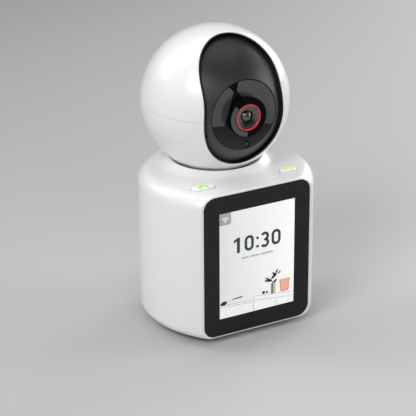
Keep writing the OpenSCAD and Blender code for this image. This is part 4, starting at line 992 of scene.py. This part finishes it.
sheets("cup", [tumbler(13.0, 19.4, -21.6, -14.4)], 3, lit("coral", (0.72, 0.24, 0.17)))
sheets("cup_light", [tumbler(13.6, 18.9, -20.9, -15.2)], 4, lit("pale_coral", (0.84, 0.42, 0.31)))
sheets("cup_rim", [[(13.0, -14.9), (19.4, -14.9), (19.4, -14.3), (13.0, -14.3)]], 4,
       lit("rim_pink", (0.85, 0.62, 0.55)))
sheet("glass_dot", arc(0, 0, 0.45, 0, 360, 20)[:-1], 0, MATS["sensor_green"], (-19.6, 35.2))


# ---------------------------------------------------------------- stage
def stage_plane():
    """Floor that curves up into a backdrop, far behind the object."""
    half_w, near, bend_from, bend_r, top = 4000, -3000, 1500, 900, 4000
    bend = [(bend_from + bend_r * math.sin(a), bend_r - bend_r * math.cos(a))
            for a in np.linspace(0.15, math.pi / 2, 12)]
    line = [(near, 0), (bend_from, 0)] + bend + [(bend_from + bend_r, top)]
    return grid("floor", [[(-half_w, y, z), (half_w, y, z)] for y, z in line], closed_cols=False)


floor = smooth(stage_plane(), 60)
# floor colour painted lighter toward the right and the front and darker toward the left and the rear: a
# painted fall of light
floor.data.materials.append(graded(
    paint("floor_painted_light", (0.46, 0.46, 0.46), 0.75, bump=0.01, grain=600),
    (0.52, -0.85, 0), -500, 150, (0.345, 0.345, 0.345), (0.50, 0.50, 0.50)))

world = bpy.data.worlds.new("studio")
scene.world = world
world.use_nodes = True
world.node_tree.nodes["Background"].inputs["Color"].default_value = (1, 1, 1, 1)
world.node_tree.nodes["Background"].inputs["Strength"].default_value = 0.02


def light(name, place, size, power):
    """Soft box that shines at the middle of the object."""
    target = Vector((0, 0, 80))
    data = bpy.data.lights.new(name, "AREA")
    data.shape, data.size, data.size_y, data.energy = "RECTANGLE", size[0] * MM, size[1] * MM, power
    obj = bpy.data.objects.new(name, data)
    obj.location = Vector(place) * MM
    obj.rotation_euler = (target - Vector(place)).to_track_quat("-Z", "Y").to_euler()
    scene.collection.objects.link(obj)


# softboxes: name, place, size and power
for soft_box in (
        ("key", (-900, -500, 900), (600, 600), 9.3),
        ("left_low", (-900, -700, 350), (400, 600), 0.8),
        ("front", (-300, -1000, 700), (700, 500), 2.5),
        ("fill", (950, -320, 300), (500, 560), 4.8),
        ("right_rim", (850, 400, 350), (500, 600), 3.8),
        ("left_rim", (-650, 600, 800), (500, 800), 4.2),
        ("top", (100, 200, 1200), (1200, 900), 6.4)):
    light(*soft_box)

# ---------------------------------------------------------------- camera
cam_data = bpy.data.cameras.new("camera")
cam_data.lens, cam_data.sensor_width = 152.4, 36.0
cam_data.shift_x, cam_data.shift_y = 0.0005, 0.0006
cam_data.clip_start, cam_data.clip_end = 0.01, 50
camera = bpy.data.objects.new("camera", cam_data)
scene.collection.objects.link(camera)
eye = Vector((-403.98, -737.15, 418.02)) * MM
aim = Vector((-28.098, -43.46, 76.00)) * MM
camera.location = eye
camera.rotation_mode = "QUATERNION"
camera.rotation_quaternion = (aim - eye).to_track_quat("-Z", "Y") @ Quaternion((0, 0, 1), math.radians(-0.35))
scene.camera = camera
scene.view_settings.view_transform = "Standard"
